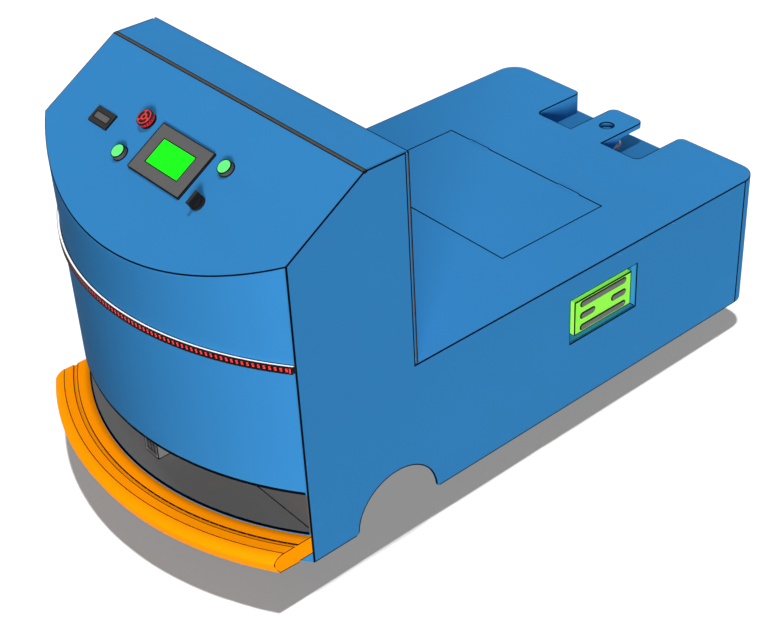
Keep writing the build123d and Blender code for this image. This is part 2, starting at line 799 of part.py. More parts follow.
selector_base = panel_round(selector_y, selector_slope, selector_base_radius, 0, selector_base_height)
selector_base += panel_round(selector_y, selector_slope, button_body_radius, -button_body_depth, 0)
selector_base -= panel_round(
    selector_y, selector_slope, stem_radius + bore_clearance, estop_bottom, selector_base_height)
save("selector_base", selector_base)
knob_bottom = selector_base_height + sliding_clearance
knob_top = knob_bottom + selector_knob_height
selector_knob = panel_round(selector_y, selector_slope, selector_knob_radius, knob_bottom, knob_top)
selector_knob += panel_round(selector_y, selector_slope, stem_radius, estop_bottom, knob_bottom)
selector_knob += panel_box(
    selector_y, selector_slope, selector_fin_width, 2 * selector_knob_radius + selector_fin_width,
    knob_bottom, knob_top + selector_fin_height) & panel_round(
        selector_y, selector_slope, selector_base_radius, knob_bottom, knob_top + selector_fin_height)
save("selector_knob", selector_knob)

gauge_frame = panel_box(gauge_y, gauge_slope, gauge_width, gauge_height, 0, gauge_bezel)
gauge_frame += panel_box(
    gauge_y, gauge_slope, gauge_body_width, gauge_body_height, -gauge_body_depth, 0)
gauge_frame -= panel_box(
    gauge_y, gauge_slope, gauge_window_width, gauge_window_height,
    gauge_bezel - gauge_window_depth, gauge_bezel)
save("gauge_frame", gauge_frame)
gauge_window = panel_box(
    gauge_y, gauge_slope, gauge_window_width, gauge_window_height,
    gauge_bezel - gauge_window_depth, gauge_bezel - gauge_window_depth / 2)
save("gauge_window", gauge_window)

# Laser scanner on the bay floor: housing, dark front window and a turning mirror drum
scanner_front_x = front_x + scanner_front_reach
scanner_back_x = scanner_front_x - scanner_depth
scanner_half = scanner_width / 2
scanner_top = bay_floor_height + scanner_height
scanner_housing = block(
    scanner_back_x, scanner_front_x, scanner_y - scanner_half, scanner_y + scanner_half,
    bay_floor_height, scanner_top)
scanner_housing -= block(
    scanner_back_x + 3 * scanner_wall, scanner_front_x,
    scanner_y - scanner_half + scanner_wall, scanner_y + scanner_half - scanner_wall,
    bay_floor_height + scanner_wall, scanner_top - scanner_wall)
rotor_x = scanner_front_x - scanner_window - 2 * scanner_spigot_radius - scanner_rotor_radius
rotor_bottom = bay_floor_height + scanner_wall + sliding_clearance
rotor_top = scanner_top - 2 * scanner_wall
scanner_housing += upright(
    rotor_x, scanner_y, bay_floor_height + scanner_wall, rotor_top - scanner_wall, scanner_spigot_radius)
save("scanner_housing", scanner_housing)
scanner_window_plate = block(
    scanner_front_x - scanner_window, scanner_front_x,
    scanner_y - scanner_half + scanner_wall, scanner_y + scanner_half - scanner_wall,
    bay_floor_height + scanner_wall, scanner_top - scanner_wall)
save("scanner_window", scanner_window_plate)
mirror_cut = block(
    rotor_x + scanner_rotor_radius / 2, rotor_x + scanner_rotor_radius,
    scanner_y - scanner_rotor_radius, scanner_y + scanner_rotor_radius,
    rotor_bottom + 3 * scanner_wall, rotor_top)
scanner_rotor = upright(rotor_x, scanner_y, rotor_bottom, rotor_top, scanner_rotor_radius)
scanner_rotor -= upright(
    rotor_x, scanner_y, rotor_bottom, rotor_top - scanner_wall + sliding_clearance,
    scanner_spigot_radius + bore_clearance)
scanner_rotor -= mirror_cut
save("scanner_rotor", scanner_rotor)

# Drive bogie: slewing ring under the frame, yoke with two coaxial motors, two wheels
slew_top = frame_height - slew_plate
slew_bottom = slew_top - slew_ring_height
slew_bore = upright(arch_x, 0, slew_bottom, frame_height, slew_bore_radius)
slew_mount_plate = block(
    arch_x - bogie_cross_offset - rail_size, frame_front_x,
    -slew_plate_half_width, slew_plate_half_width, slew_top, frame_height)
slew_ring = upright(arch_x, 0, slew_bottom, slew_top, slew_ring_radius)
save("slew_mount", slew_mount_plate - slew_bore, slew_ring - slew_bore)
yoke_top = slew_bottom - sliding_clearance
yoke_half_width = drive_wheel_inner - sliding_clearance
side_inner = yoke_half_width - bogie_side_plate
yoke_underside = yoke_top - bogie_plate
bogie_frame = block(
    arch_x - bogie_half_length, arch_x + bogie_half_length, -yoke_half_width, yoke_half_width,
    yoke_underside, yoke_top)
bogie_frame = fillet(bogie_frame.edges().filter_by(Axis.Z), bogie_plate)
side_view = outline([
    (arch_x - bogie_half_length, yoke_underside),
    (arch_x + bogie_half_length, yoke_underside),
    (arch_x + bogie_side_half, drive_wheel_radius),
    (arch_x - bogie_side_half, drive_wheel_radius),
]) + Pos(arch_x, drive_wheel_radius) * Circle(bogie_side_half)
for y0 in (-yoke_half_width, side_inner):
    bogie_frame += lengthwise(side_view, y0, y0 + bogie_side_plate)
bogie_frame += upright(arch_x, 0, yoke_top, frame_height, slew_bore_radius - bore_clearance)
bogie_frame -= upright(arch_x, 0, yoke_underside, frame_height, cable_bore_radius)
bogie_frame -= crosswise(
    arch_x, drive_wheel_radius, -yoke_half_width, yoke_half_width, shaft_radius + bore_clearance)
save("bogie_frame", bogie_frame)
motor_half_gap = side_inner - motor_length
drive_motors = [
    crosswise(arch_x, drive_wheel_radius, motor_half_gap, side_inner, motor_radius),
    crosswise(arch_x, drive_wheel_radius, -side_inner, -motor_half_gap, motor_radius),
]
save("drive_motors", *drive_motors)
wheel_outer = drive_wheel_inner + drive_wheel_width
hub_radius = drive_wheel_radius - drive_tyre_thickness
hub_web = drive_wheel_width / 3
for side, sign in (("left", 1), ("right", -1)):
    def across(y0, y1, radius):
        near, far = sorted((sign * y0, sign * y1))
        return crosswise(arch_x, drive_wheel_radius, near, far, radius)

    hub = across(drive_wheel_inner, wheel_outer, hub_radius)
    hub -= across(drive_wheel_inner + hub_web, wheel_outer, hub_radius - drive_tyre_thickness)
    hub += across(drive_wheel_inner, wheel_outer - drive_tyre_thickness, 2 * shaft_radius)
    hub += across(side_inner + sliding_clearance, drive_wheel_inner, shaft_radius)
    save(f"drive_hub_{side}", hub)
    tyre = across(drive_wheel_inner, wheel_outer, drive_wheel_radius)
    tyre = chamfer(tyre.edges().filter_by(GeomType.CIRCLE), drive_tyre_thickness / 4)
    tyre -= across(drive_wheel_inner, wheel_outer, hub_radius)
    save(f"drive_tyre_{side}", tyre)

# Rear casters
caster_x = rear_x + caster_setback
caster_offset = half_width - caster_inset
head_bottom = frame_height - caster_plate - caster_head_height
crown_top = head_bottom - sliding_clearance
crown_bottom = crown_top - caster_crown
leg_inner = caster_wheel_width / 2 + 2 * caster_leg / 3
axle_x = caster_x - caster_trail
plate_outer = inner_half
caster_plates = []
for sign in (-1, 1):
    y0, y1 = sorted((sign * (2 * caster_offset - plate_outer), sign * plate_outer))
    mount = block(
        caster_x - caster_plate_length / 2, caster_x + caster_plate_length / 2, y0, y1,
        frame_height - caster_plate, frame_height)
    mount += upright(
        caster_x, sign * caster_offset, head_bottom, frame_height, caster_head_radius)
    mount -= upright(
        caster_x, sign * caster_offset, head_bottom, frame_height - caster_plate,
        caster_kingpin_radius + bore_clearance)
    caster_plates.append(mount)
save("caster_plates", *caster_plates)
for side, sign in (("left", 1), ("right", -1)):
    y = sign * caster_offset
    leg_outer = leg_inner + caster_leg
    fork = block(
        caster_x - caster_head_radius, caster_x + caster_head_radius, y - leg_outer, y + leg_outer,
        crown_bottom, crown_top)
    fork += upright(
        caster_x, y, crown_top, frame_height - caster_plate - sliding_clearance, caster_kingpin_radius)
    leg_view = outline([
        (caster_x - caster_head_radius, crown_bottom),
        (caster_x + caster_head_radius, crown_bottom),
        (axle_x + 2 * caster_axle_radius, caster_wheel_radius),
        (axle_x - 2 * caster_axle_radius, caster_wheel_radius),
    ]) + Pos(axle_x, caster_wheel_radius) * Circle(2 * caster_axle_radius)
    for y0 in (y - leg_outer, y + leg_inner):
        fork += lengthwise(leg_view, y0, y0 + caster_leg)
    fork += crosswise(axle_x, caster_wheel_radius, y - leg_outer, y + leg_outer, caster_axle_radius)
    save(f"caster_fork_{side}", fork)
    wheel_half = caster_wheel_width / 2
    wheel = crosswise(axle_x, caster_wheel_radius, y - wheel_half, y + wheel_half, caster_wheel_radius)
    wheel = chamfer(wheel.edges().filter_by(GeomType.CIRCLE), caster_leg)
    wheel -= crosswise(
        axle_x, caster_wheel_radius, y - wheel_half, y + wheel_half,
        caster_axle_radius + bore_clearance)
    save(f"caster_wheel_{side}", wheel)

# Electronics on an upright plate inside the console
mount_plate_x = front_x - mount_plate_reach
electronics_plate = block(
    mount_plate_x - sheet, mount_plate_x, -inner_half, inner_half, mount_plate_bottom, mount_plate_top)
save("electronics_plate", electronics_plate)
module_x = mount_plate_x - sheet
module_sizes = (
    (-170, 480, 150, 100),
    (-10, 480, 110, 120),
    (150, 480, 130, 90),
    (-120, 300, 120, 110),
    (60, 300, 160, 70),
)
control_modules = [
    block(module_x - module_depth, module_x, y - width / 2, y + width / 2, z - height / 2, z + height / 2)
    for y, z, width, height in module_sizes
]
save("control_modules", *control_modules)
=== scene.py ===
import math
from functools import partialmethod, reduce

import bmesh
import bpy
from mathutils import Matrix, Vector


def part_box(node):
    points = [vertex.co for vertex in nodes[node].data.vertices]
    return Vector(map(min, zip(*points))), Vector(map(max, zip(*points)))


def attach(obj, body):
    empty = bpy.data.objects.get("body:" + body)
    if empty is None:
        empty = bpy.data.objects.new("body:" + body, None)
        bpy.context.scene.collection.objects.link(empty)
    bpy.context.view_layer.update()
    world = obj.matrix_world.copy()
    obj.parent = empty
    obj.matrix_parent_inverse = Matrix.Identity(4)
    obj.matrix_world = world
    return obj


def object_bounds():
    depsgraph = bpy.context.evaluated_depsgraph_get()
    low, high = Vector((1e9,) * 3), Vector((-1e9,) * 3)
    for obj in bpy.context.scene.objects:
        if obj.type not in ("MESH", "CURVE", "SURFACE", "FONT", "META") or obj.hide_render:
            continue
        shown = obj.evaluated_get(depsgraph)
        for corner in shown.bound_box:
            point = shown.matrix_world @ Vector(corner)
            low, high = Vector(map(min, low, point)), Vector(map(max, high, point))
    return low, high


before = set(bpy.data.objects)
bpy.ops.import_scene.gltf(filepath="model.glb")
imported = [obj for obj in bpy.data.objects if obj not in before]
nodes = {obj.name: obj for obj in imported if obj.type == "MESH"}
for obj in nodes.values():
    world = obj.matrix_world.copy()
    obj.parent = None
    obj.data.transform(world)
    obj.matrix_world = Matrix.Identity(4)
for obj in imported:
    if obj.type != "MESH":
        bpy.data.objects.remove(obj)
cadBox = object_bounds()
scene = bpy.context.scene
scene.view_settings.view_transform = "Standard"
print("frame loaded:", len(nodes), "nodes")


# Node maths: a value wraps a socket, so that expressions add Math nodes; | is the larger, & the smaller
class Value:
    def __init__(self, tree, socket):
        self.tree = tree
        self.socket = socket

    def math(self, operation, *others):
        return self.tree.add("ShaderNodeMath", {"operation": operation}, dict(enumerate((self, *others))))

    def __rsub__(self, other):
        return self.tree.add("ShaderNodeMath", {"operation": "SUBTRACT"}, {0: other, 1: self})

    __add__ = partialmethod(math, "ADD")
    __sub__ = partialmethod(math, "SUBTRACT")
    __mul__ = partialmethod(math, "MULTIPLY")
    __truediv__ = partialmethod(math, "DIVIDE")
    __pow__ = partialmethod(math, "POWER")
    __or__ = partialmethod(math, "MAXIMUM")
    __and__ = partialmethod(math, "MINIMUM")
    __abs__ = partialmethod(math, "ABSOLUTE")
    above = partialmethod(math, "GREATER_THAN")
    below = partialmethod(math, "LESS_THAN")


# A node tree of any kind: shader, world or geometry
class Tree:
    def __init__(self, tree):
        self.nodes = tree.nodes
        self.links = tree.links

    def feed(self, socket, value):
        if isinstance(value, Value):
            self.links.new(value.socket, socket)
        else:
            socket.default_value = value

    def add(self, kind, settings=None, inputs=None, output=0):
        node = self.nodes.new(kind)
        for key, setting in (settings or {}).items():
            setattr(node, key, setting)
        for key, value in (inputs or {}).items():
            self.feed(node.inputs[key], value)
        return Value(self, node.outputs[output]) if node.outputs else None

    def split(self, vector):
        return [self.add("ShaderNodeSeparateXYZ", None, {0: vector}, letter) for letter in "XYZ"]

    def combine(self, **parts):
        return self.add("ShaderNodeCombineXYZ", None, parts)

    def rays(self):
        seen = [self.add("ShaderNodeLightPath", output=name)
                for name in ("Is Camera Ray", "Is Glossy Ray", "Is Transmission Ray")]
        return reduce(Value.__or__, seen)


class Surface(Tree):
    def __init__(self, name):
        self.material = bpy.data.materials.new(name)
        self.material.use_nodes = True
        super().__init__(self.material.node_tree)
        self.shader = self.nodes["Principled BSDF"]

    def place(self):
        return self.add("ShaderNodeTexCoord", output="Object")

    def noise(self, size, detail=2.0, stretch=(1, 1, 1)):
        spot = self.add("ShaderNodeMapping", None, {"Vector": self.place(), "Scale": stretch})
        return self.add("ShaderNodeTexNoise", None, {"Vector": spot, "Scale": 1 / size, "Detail": detail})

    def blend(self, first, second, factor):
        return self.add("ShaderNodeMix", {"data_type": "RGBA"}, {0: factor, 6: first, 7: second}, output=2)

    def mottled(self, color, darker, lighter, factor):
        return self.blend(tinted(color, darker), tinted(color, lighter), factor)

    def vector(self, operation, inputs, output=0):
        return self.add("ShaderNodeVectorMath", {"operation": operation}, inputs, output)

    def folded(self):
        x, y, z = self.split(self.place())
        return self.combine(X=x, Y=abs(y), Z=z)

    def nearLine(self, spot, start, end, half):
        run = Vector(end) - Vector(start)
        way = tuple(run.normalized())
        offset = self.vector("SUBTRACT", {0: spot, 1: tuple(start)})
        along = self.vector("DOT_PRODUCT", {0: offset, 1: way}, 1)
        foot = self.vector("SCALE", {0: way, 3: (along | 0.0) & run.length})
        return self.vector("LENGTH", {0: self.vector("SUBTRACT", {0: offset, 1: foot})}, 1).below(half)

    # A ring lies across its normal axis; each side, such as "-X", keeps only that half of it
    def nearRing(self, spot, center, radius, half, normal, *sides):
        offset = dict(zip("XYZ", self.split(self.vector("SUBTRACT", {0: spot, 1: tuple(center)}))))
        first, second = (offset[letter] for letter in "XYZ" if letter != normal)
        aside = offset[normal]
        miss = (first * first + second * second) ** 0.5 - radius
        inside = (miss * miss + aside * aside).below(half ** 2)
        for sign, letter in sides:
            inside = inside * (offset[letter] * float(sign + "1")).above(0.0)
        return inside

    def bump(self, height, distance, strength=0.4):
        return self.add("ShaderNodeBump", None, dict(Height=height, Distance=distance, Strength=strength))

    def wire(self, **values):
        for name, value in values.items():
            self.feed(self.shader.inputs[name.replace("_", " ")], value)
        return self.material


def linear(red, green, blue):
    out = []
    for level in (red, green, blue):
        level /= 255
        out.append(level / 12.92 if level <= 0.04045 else ((level + 0.055) / 1.055) ** 2.4)
    return (*out, 1.0)


def tinted(color, factor):
    return (color[0] * factor, color[1] * factor, color[2] * factor, 1.0)


# Sizes of the body, in metres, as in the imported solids. hatch is its rear and front x and half its width;
# window is its middle x and z and its half sizes.
body = {
    "half": 0.3, "sheet": 0.003, "axisX": 0.00366, "frontRadius": 0.511, "ground": 0.055,
    "shoulder": 0.570, "roof": 0.655, "deck": 0.305, "shelf": 0.265, "slopeRun": 0.136, "roofRun": 0.076,
    "sealGap": 0.006, "rearCorner": 0.0385, "archSetback": 0.162, "archRadius": 0.077,
    "bayFloor": 0.111, "bayTop": 0.184, "bayBack": 0.41233, "hatch": (-0.30117, -0.07317, 0.185),
    "notchX": -0.45767, "notchHalf": 0.123, "notchFillet": 0.012,
    "tongueHalf": 0.0375, "tongueEnd": -0.57067, "tongueCorner": 0.014,
    "hitchX": -0.51267, "hitchHole": 0.0125, "window": (-0.18767, 0.2197, 0.077, 0.042), "pocketDepth": 0.043,
}
rearX = cadBox[0][0]
arcX = body["axisX"]
frontX = arcX + math.sqrt(body["frontRadius"] ** 2 - body["half"] ** 2)
slopeAngle = math.atan2(body["roof"] - body["shoulder"], body["slopeRun"])
roofFrontX = frontX - body["slopeRun"]
consoleRearX = roofFrontX - body["roofRun"]
sideRearX = consoleRearX + body["sealGap"]
rearSeamX = rearX + body["rearCorner"]
archX = frontX - body["archSetback"]
panelUp = Vector((-math.cos(slopeAngle), 0, math.sin(slopeAngle)))
panelOut = Vector((math.sin(slopeAngle), 0, math.cos(slopeAngle)))


def onPanel(y, up, out=0.0):
    return Vector((frontX, y, body["shoulder"])) + panelUp * up + panelOut * out


# How far a point lies outside the cylinder of the round front
def drumReach(x, y):
    ahead = x - arcX
    return (ahead * ahead + y * y) ** 0.5 - body["frontRadius"]


# Half widths of the dark lines along joints and edges, and where a few of them start
ink = {
    "wide": 0.0017, "fine": 0.0014, "foot": 0.0019, "bayTop": 0.0050, "bayFloor": 0.0026, "fillet": 0.0018,
    "slope": 0.0012, "pocket": 0.0011, "footStart": 0.007, "mouthStart": 0.010, "shy": 0.3,
    "hinge": {"run": (0.084, 0.136), "ahead": 0.0006, "lift": 0.002, "half": 0.0012},
    "seam": {"behind": 0.0014, "band": 0.0022, "half": 0.0037},
}


# The lines along a path: each has a start, an end and half its width
def traced(points, half):
    return [(start, end, half) for start, end in zip(points, points[1:])]


# All lines and rings are drawn on the left and mirrored; a ring has what nearRing takes
def panelJoints():
    half, ground, shoulder, roof, deck, shelf = (
        body[key] for key in ("half", "ground", "shoulder", "roof", "deck", "shelf"))
    notchX, notchHalf, fillet = (body[key] for key in ("notchX", "notchHalf", "notchFillet"))
    tongueX, tongueHalf, rounding = (body[key] for key in ("tongueEnd", "tongueHalf", "tongueCorner"))
    hatchRear, hatchFront, hatchHalf = body["hatch"]
    wide, fine, foot, hinge = ink["wide"], ink["fine"], ink["foot"], ink["hinge"]
    corner, arch, shy = body["rearCorner"], body["archRadius"] + ink["footStart"], fillet * ink["shy"]
    console = [(frontX, ground), (frontX, shoulder), (roofFrontX, roof), (consoleRearX, roof)]
    side = [
        (console + [(consoleRearX, deck)], wide),
        ([(sideRearX, roof), (sideRearX, deck)], fine),
        ([(sideRearX, deck), (rearSeamX, deck), (rearSeamX, ground)], wide),
        ([(rearSeamX, ground), (archX - arch, ground)], foot),
        ([(archX + arch, ground), (frontX, ground)], foot),
    ]
    side = [line for path, width in side for line in traced([(x, half, z) for x, z in path], width)]
    top = [
        ([(rearX, notchHalf + ink["mouthStart"]), (rearX, half - corner)], wide),
        ([(rearX + fillet, notchHalf), (notchX - fillet, notchHalf)], wide),
        ([(tongueX + rounding, tongueHalf), (notchX, tongueHalf), (notchX, notchHalf - fillet)], wide),
        ([(tongueX, 0), (tongueX, tongueHalf - rounding)], wide),
        ([(hatchRear, 0), (hatchRear, hatchHalf), (hatchFront, hatchHalf), (hatchFront, 0)], fine),
    ]
    top = [line for path, width in top for line in traced([(x, y, deck) for x, y in path], width)]
    top = traced([(consoleRearX, 0, roof), (consoleRearX, half, roof)], wide) + top
    top += traced([(notchX, tongueHalf, shelf), (notchX, notchHalf - fillet, shelf)], wide)
    top += traced([(notchX - shy, notchHalf - shy, z) for z in (shelf, deck)], wide)
    hingeX, hingeZ = hatchRear + hinge["ahead"], deck + hinge["lift"]
    top += traced([(hingeX, y, hingeZ) for y in hinge["run"]], hinge["half"])
    rings = [
        ((arcX, 0, body["bayTop"]), body["frontRadius"], ink["bayTop"], "Z", "+X"),
        ((arcX, 0, body["bayFloor"]), body["frontRadius"], ink["bayFloor"], "Z", "+X"),
        ((archX, half, ground), body["archRadius"], foot, "Y", "+Z"),
        ((notchX - fillet, notchHalf - fillet, deck), fillet, ink["fillet"], "Z", "+X", "+Y"),
        ((rearX + corner, half - corner, deck), corner, wide, "Z", "-X", "+Y"),
        ((rearX + fillet, notchHalf + fillet, deck), fillet, wide, "Z", "-X", "-Y"),
        ((tongueX + rounding, tongueHalf - rounding, deck), rounding, wide, "Z", "-X", "+Y"),
        ((body["hitchX"], 0, deck), body["hitchHole"], wide, "Z"),
    ]
    return side, top, rings


# The curved edge where the sloped panel meets the round front
def slopeEdge(surface, spot):
    x, y, z = surface.split(spot)
    outside = drumReach(x, y)
    above = (z - body["shoulder"] + (x - frontX) * math.tan(slopeAngle)) * math.cos(slopeAngle)
    return (outside * outside + above * above).below(ink["slope"] ** 2)


def jointMask(surface, choice):
    spot = surface.folded()
    side, top, rings = panelJoints()
    midX, midZ, reachX, reachZ = body["window"]
    half = body["half"]
    deep = half - body["pocketDepth"]
    corners = [(midX + sx * reachX, midZ + sz * reachZ) for sx, sz in ((-1, -1), (1, -1), (1, 1), (-1, 1))]
    pocket = [((x, deep, z), (x, half, z), ink["pocket"]) for x, z in corners]
    pocket += [((midX - reachX, y, z), (midX + reachX, y, z), ink["pocket"])
               for y in (deep, half - body["sheet"]) for z in (midZ - reachZ, midZ + reachZ)]
    lines, rounds = {"all": (side + top, rings[2:]), "console": (side[:5] + top[:1], []),
                     "front": (side[:1] + side[8:], rings[:2]), "pocket": (pocket, [])}[choice]
    masks = [surface.nearLine(spot, *line) for line in lines]
    masks += [surface.nearRing(spot, *ring) for ring in rounds]
    masks.append(slopeEdge(surface, spot))
    if choice == "all":
        around = traced([(x, half, z) for x, z in corners + corners[:1]], ink["fine"])
        masks += [surface.nearLine(surface.place(), *line) for line in around]
    return reduce(Value.__or__, masks)


# Painted sheet metal: slight mottling, fine orange peel, faint scuffs near the floor
paint = {
    "body": linear(53, 131, 192), "joint": linear(5, 9, 14), "gap": linear(92, 86, 82), "specular": 0.02,
    "mottle": {"size": 0.35, "share": 0.055}, "gloss": {"size": 0.06, "spread": 0.12}, "duller": 0.3,
    "peel": {"size": 0.0024, "height": 0.00005, "strength": 0.35},
    "scuff": {"size": 0.02, "stretch": (1, 1, 4), "rarity": 0.66, "height": 0.13, "depth": 0.35, "tint": 0.6},
    "edgeInset": 0.0006, "flushInset": 0.0004, "edgeWidth": 0.0032,
}


def peel(surface):
    grain = surface.noise(paint["peel"]["size"], 2)
    return surface.bump(grain, paint["peel"]["height"], paint["peel"]["strength"])


# Grey sheet edges and seal gaps, then the dark joint lines over them
def drawJoints(surface, shade, joints):
    x, y, z = surface.split(surface.place())
    half, seam = body["half"], ink["seam"]
    flush = abs(y).above(half - paint["flushInset"])
    gap = x.above(consoleRearX) * x.below(sideRearX) * z.above(body["deck"]) * flush
    edge = x.above(frontX - paint["edgeInset"]) * z.above(body["bayFloor"]) * z.below(body["bayTop"])
    edge = edge * abs(y).above(half - paint["edgeWidth"])
    spot = surface.folded()
    seamX = roofFrontX - seam["behind"]
    seamRun = ((seamX, 0, body["roof"]), (seamX, half, body["roof"]))
    band = surface.nearLine(spot, *seamRun, seam["band"])
    shade = surface.blend(surface.blend(shade, paint["gap"], gap | edge), paint["gap"], band)
    mask = jointMask(surface, joints) | surface.nearLine(spot, *seamRun, seam["half"]) * (1 - band)
    return surface.blend(shade, paint["joint"], mask), mask


def powderCoat(name, color, roughness=0.64, scuffed=False, joints=None, glow=0.0):
    surface = Surface(name)
    mottle, gloss, scuff = paint["mottle"], paint["gloss"], paint["scuff"]
    shade = surface.mottled(color, 1 - mottle["share"], 1 + mottle["share"], surface.noise(mottle["size"], 3))
    dull = surface.noise(gloss["size"], 4) * gloss["spread"] + (roughness - gloss["spread"] / 2)
    if scuffed:
        x, y, height = surface.split(surface.place())
        streak = surface.noise(scuff["size"], 5, scuff["stretch"]).above(scuff["rarity"])
        wear = streak * ((1 - height / scuff["height"]) | 0.0) * scuff["depth"]
        shade = surface.blend(shade, tinted(color, scuff["tint"]), wear)
        dull = dull + wear * paint["duller"]
    if joints:
        shade, mask = drawJoints(surface, shade, joints)
        dull = dull + mask * paint["duller"]
    # glow makes the coat give off light in its own colour: painted light, used only on the charging pocket
    return surface.wire(
        Base_Color=shade, Roughness=dull, Specular_IOR_Level=paint["specular"],
        Emission_Color=shade, Emission_Strength=glow, Normal=peel(surface))


# Bay sheets: a dark line where the floor, the back wall and the side wall meet
def bayCoat(name, color):
    surface = Surface(name)
    shade = surface.mottled(color, 0.95, 1.05, surface.noise(0.2, 3))
    spot = surface.folded()
    wall, low, half = body["bayBack"], body["bayFloor"], body["half"] - body["sheet"]
    line = surface.nearLine(spot, (wall, 0, low), (wall, half, low), ink["pocket"])
    line = line | surface.nearLine(spot, (wall, half, low), (wall, half, body["bayTop"]), ink["pocket"])
    dust = surface.noise(0.004, 3).above(0.62) * 0.12
    shade = surface.blend(surface.blend(shade, tinted(color, 0.7), dust), paint["joint"], line)
    return surface.wire(
        Base_Color=shade, Roughness=surface.noise(0.05, 3) * 0.1 + 0.6, Specular_IOR_Level=0.05,
        Normal=peel(surface))


def plastic(name, color, roughness, grain=0.0008, depth=0.00006, specular=0.2):
    surface = Surface(name)
    return surface.wire(
        Base_Color=surface.mottled(color, 0.93, 1.07, surface.noise(0.03, 3)),
        Roughness=surface.noise(0.01, 3) * 0.14 + (roughness - 0.07), Specular_IOR_Level=specular,
        Normal=surface.bump(surface.noise(grain, 2), depth))


def metal(name, color, roughness, stretch=(1, 1, 1), grain=0.0015):
    surface = Surface(name)
    brush = surface.noise(grain, 3, stretch)
    stain = surface.noise(0.05, 4)
    return surface.wire(
        Base_Color=surface.mottled(color, 0.82, 1.1, stain * 0.6 + brush * 0.4), Metallic=1.0,
        Roughness=brush * 0.18 + (roughness - 0.09), Normal=surface.bump(brush, 0.00003))


def glowing(name, color, strength, roughness=0.3):
    surface = Surface(name)
    shade = surface.mottled(color, 0.9, 1.0, surface.noise(0.006, 2))
    return surface.wire(
        Base_Color=shade, Roughness=roughness, Specular_IOR_Level=0.15,
        Emission_Color=shade, Emission_Strength=strength)


bodyBlue = powderCoat("bodyBluePowderCoat", paint["body"], joints="all")
consoleBlue = powderCoat("consoleBluePowderCoat", paint["body"], joints="console")
frontBlue = powderCoat("frontBluePowderCoat", paint["body"], joints="front")
# the side panels and rear shell wear the body blue darkened to 0.93: painted shade for faces turned from the
# key light
shadedSkirtBlue = powderCoat("skirtBluePaintedShade", tinted(paint["body"], 0.93), scuffed=True, joints="all")
# the charging pocket's blue glows a little: painted light against the shade inside the pocket
glowingPocketBlue = powderCoat("pocketBluePaintedLight", paint["body"], joints="pocket", glow=0.24)
# the bay's floor and ceiling wear a grey painted lighter against the shade in the bay; its back wall wears a
# darker copy of the same grey: painted shade
lightenedBayGrey = bayCoat("bayGreyPaintedLight", linear(152, 153, 154))
bayShade = bayCoat("bayBackPaintedShade", linear(88, 88, 88))
frameGrey = powderCoat("frameGreyPaint", linear(62, 65, 69), 0.5)
blackPlastic = plastic("blackPlastic", linear(24, 24, 24), 0.42)
greyPlastic = plastic("greyPlastic", linear(88, 88, 88), 0.5)
caseGrey = plastic("caseGrey", linear(150, 152, 150), 0.5)
contactMetal = metal("contactPlating", linear(104, 104, 104), 0.5, (6, 1, 1))
groundSteel = metal("groundSteel", linear(196, 198, 202), 0.32, (1, 1, 8))
zinc = metal("zincPlate", linear(190, 192, 196), 0.42)
aluminium = metal("machinedAluminium", linear(200, 202, 206), 0.36, (1, 8, 1))
rubberBlack = plastic("sealRubber", linear(22, 22, 23), 0.85, 0.0005, 0.0001)
tyreRubber = plastic("tyreRubber", linear(42, 42, 44), 0.7, 0.001, 0.0001, 0.25)
lensDark = plastic("scannerLens", linear(74, 74, 76), 0.3, 0.01, 0.0)
scannerGrey = plastic("scannerGrey", linear(128, 128, 128), 0.5)
sealGrey = plastic("sealGrey", linear(98, 93, 88), 0.8, 0.001, 0.00004, 0.1)
screenGreen = glowing("screenGreen", linear(0, 255, 0), 0.75, 0.18)
capGreen = glowing("buttonCapGreen", linear(98, 250, 120), 0.25, 0.2)
mushroomRed = plastic("mushroomRed", linear(226, 30, 30), 0.28, 0.002, 0.00002, 0.5)
lampRed = glowing("lampRed", linear(255, 46, 46), 0.7, 0.25)

# Moulded foam skin: pores, worn lower edge and the dark edges of its moulded steps; its glow is painted light
# that brightens the orange
bumper = {
    "orange": linear(255, 147, 0), "worn": linear(170, 96, 10), "line": linear(30, 16, 4), "glow": 0.16,
    "steps": (0.0203, 0.0270, 0.0420), "stepWidth": 0.0007, "stepLow": 0.103,
    "foot": 0.073, "wornHeight": 0.012, "ends": 0.2994, "endLine": 0.0012,
    "foam": ((0.0, 0.107), (0.042, 0.107), (0.0480, 0.1062), (0.0540, 0.1030), (0.0572, 0.0985),
             (0.0579, 0.0915), (0.0562, 0.0865), (0.0505, 0.0755), (0.021, 0.0735), (0.0, 0.0755)),
    "rail": ((0.021, 0.107), (0.0006, 0.107), (0.0006, 0.0756), (0.021, 0.0756)),
}


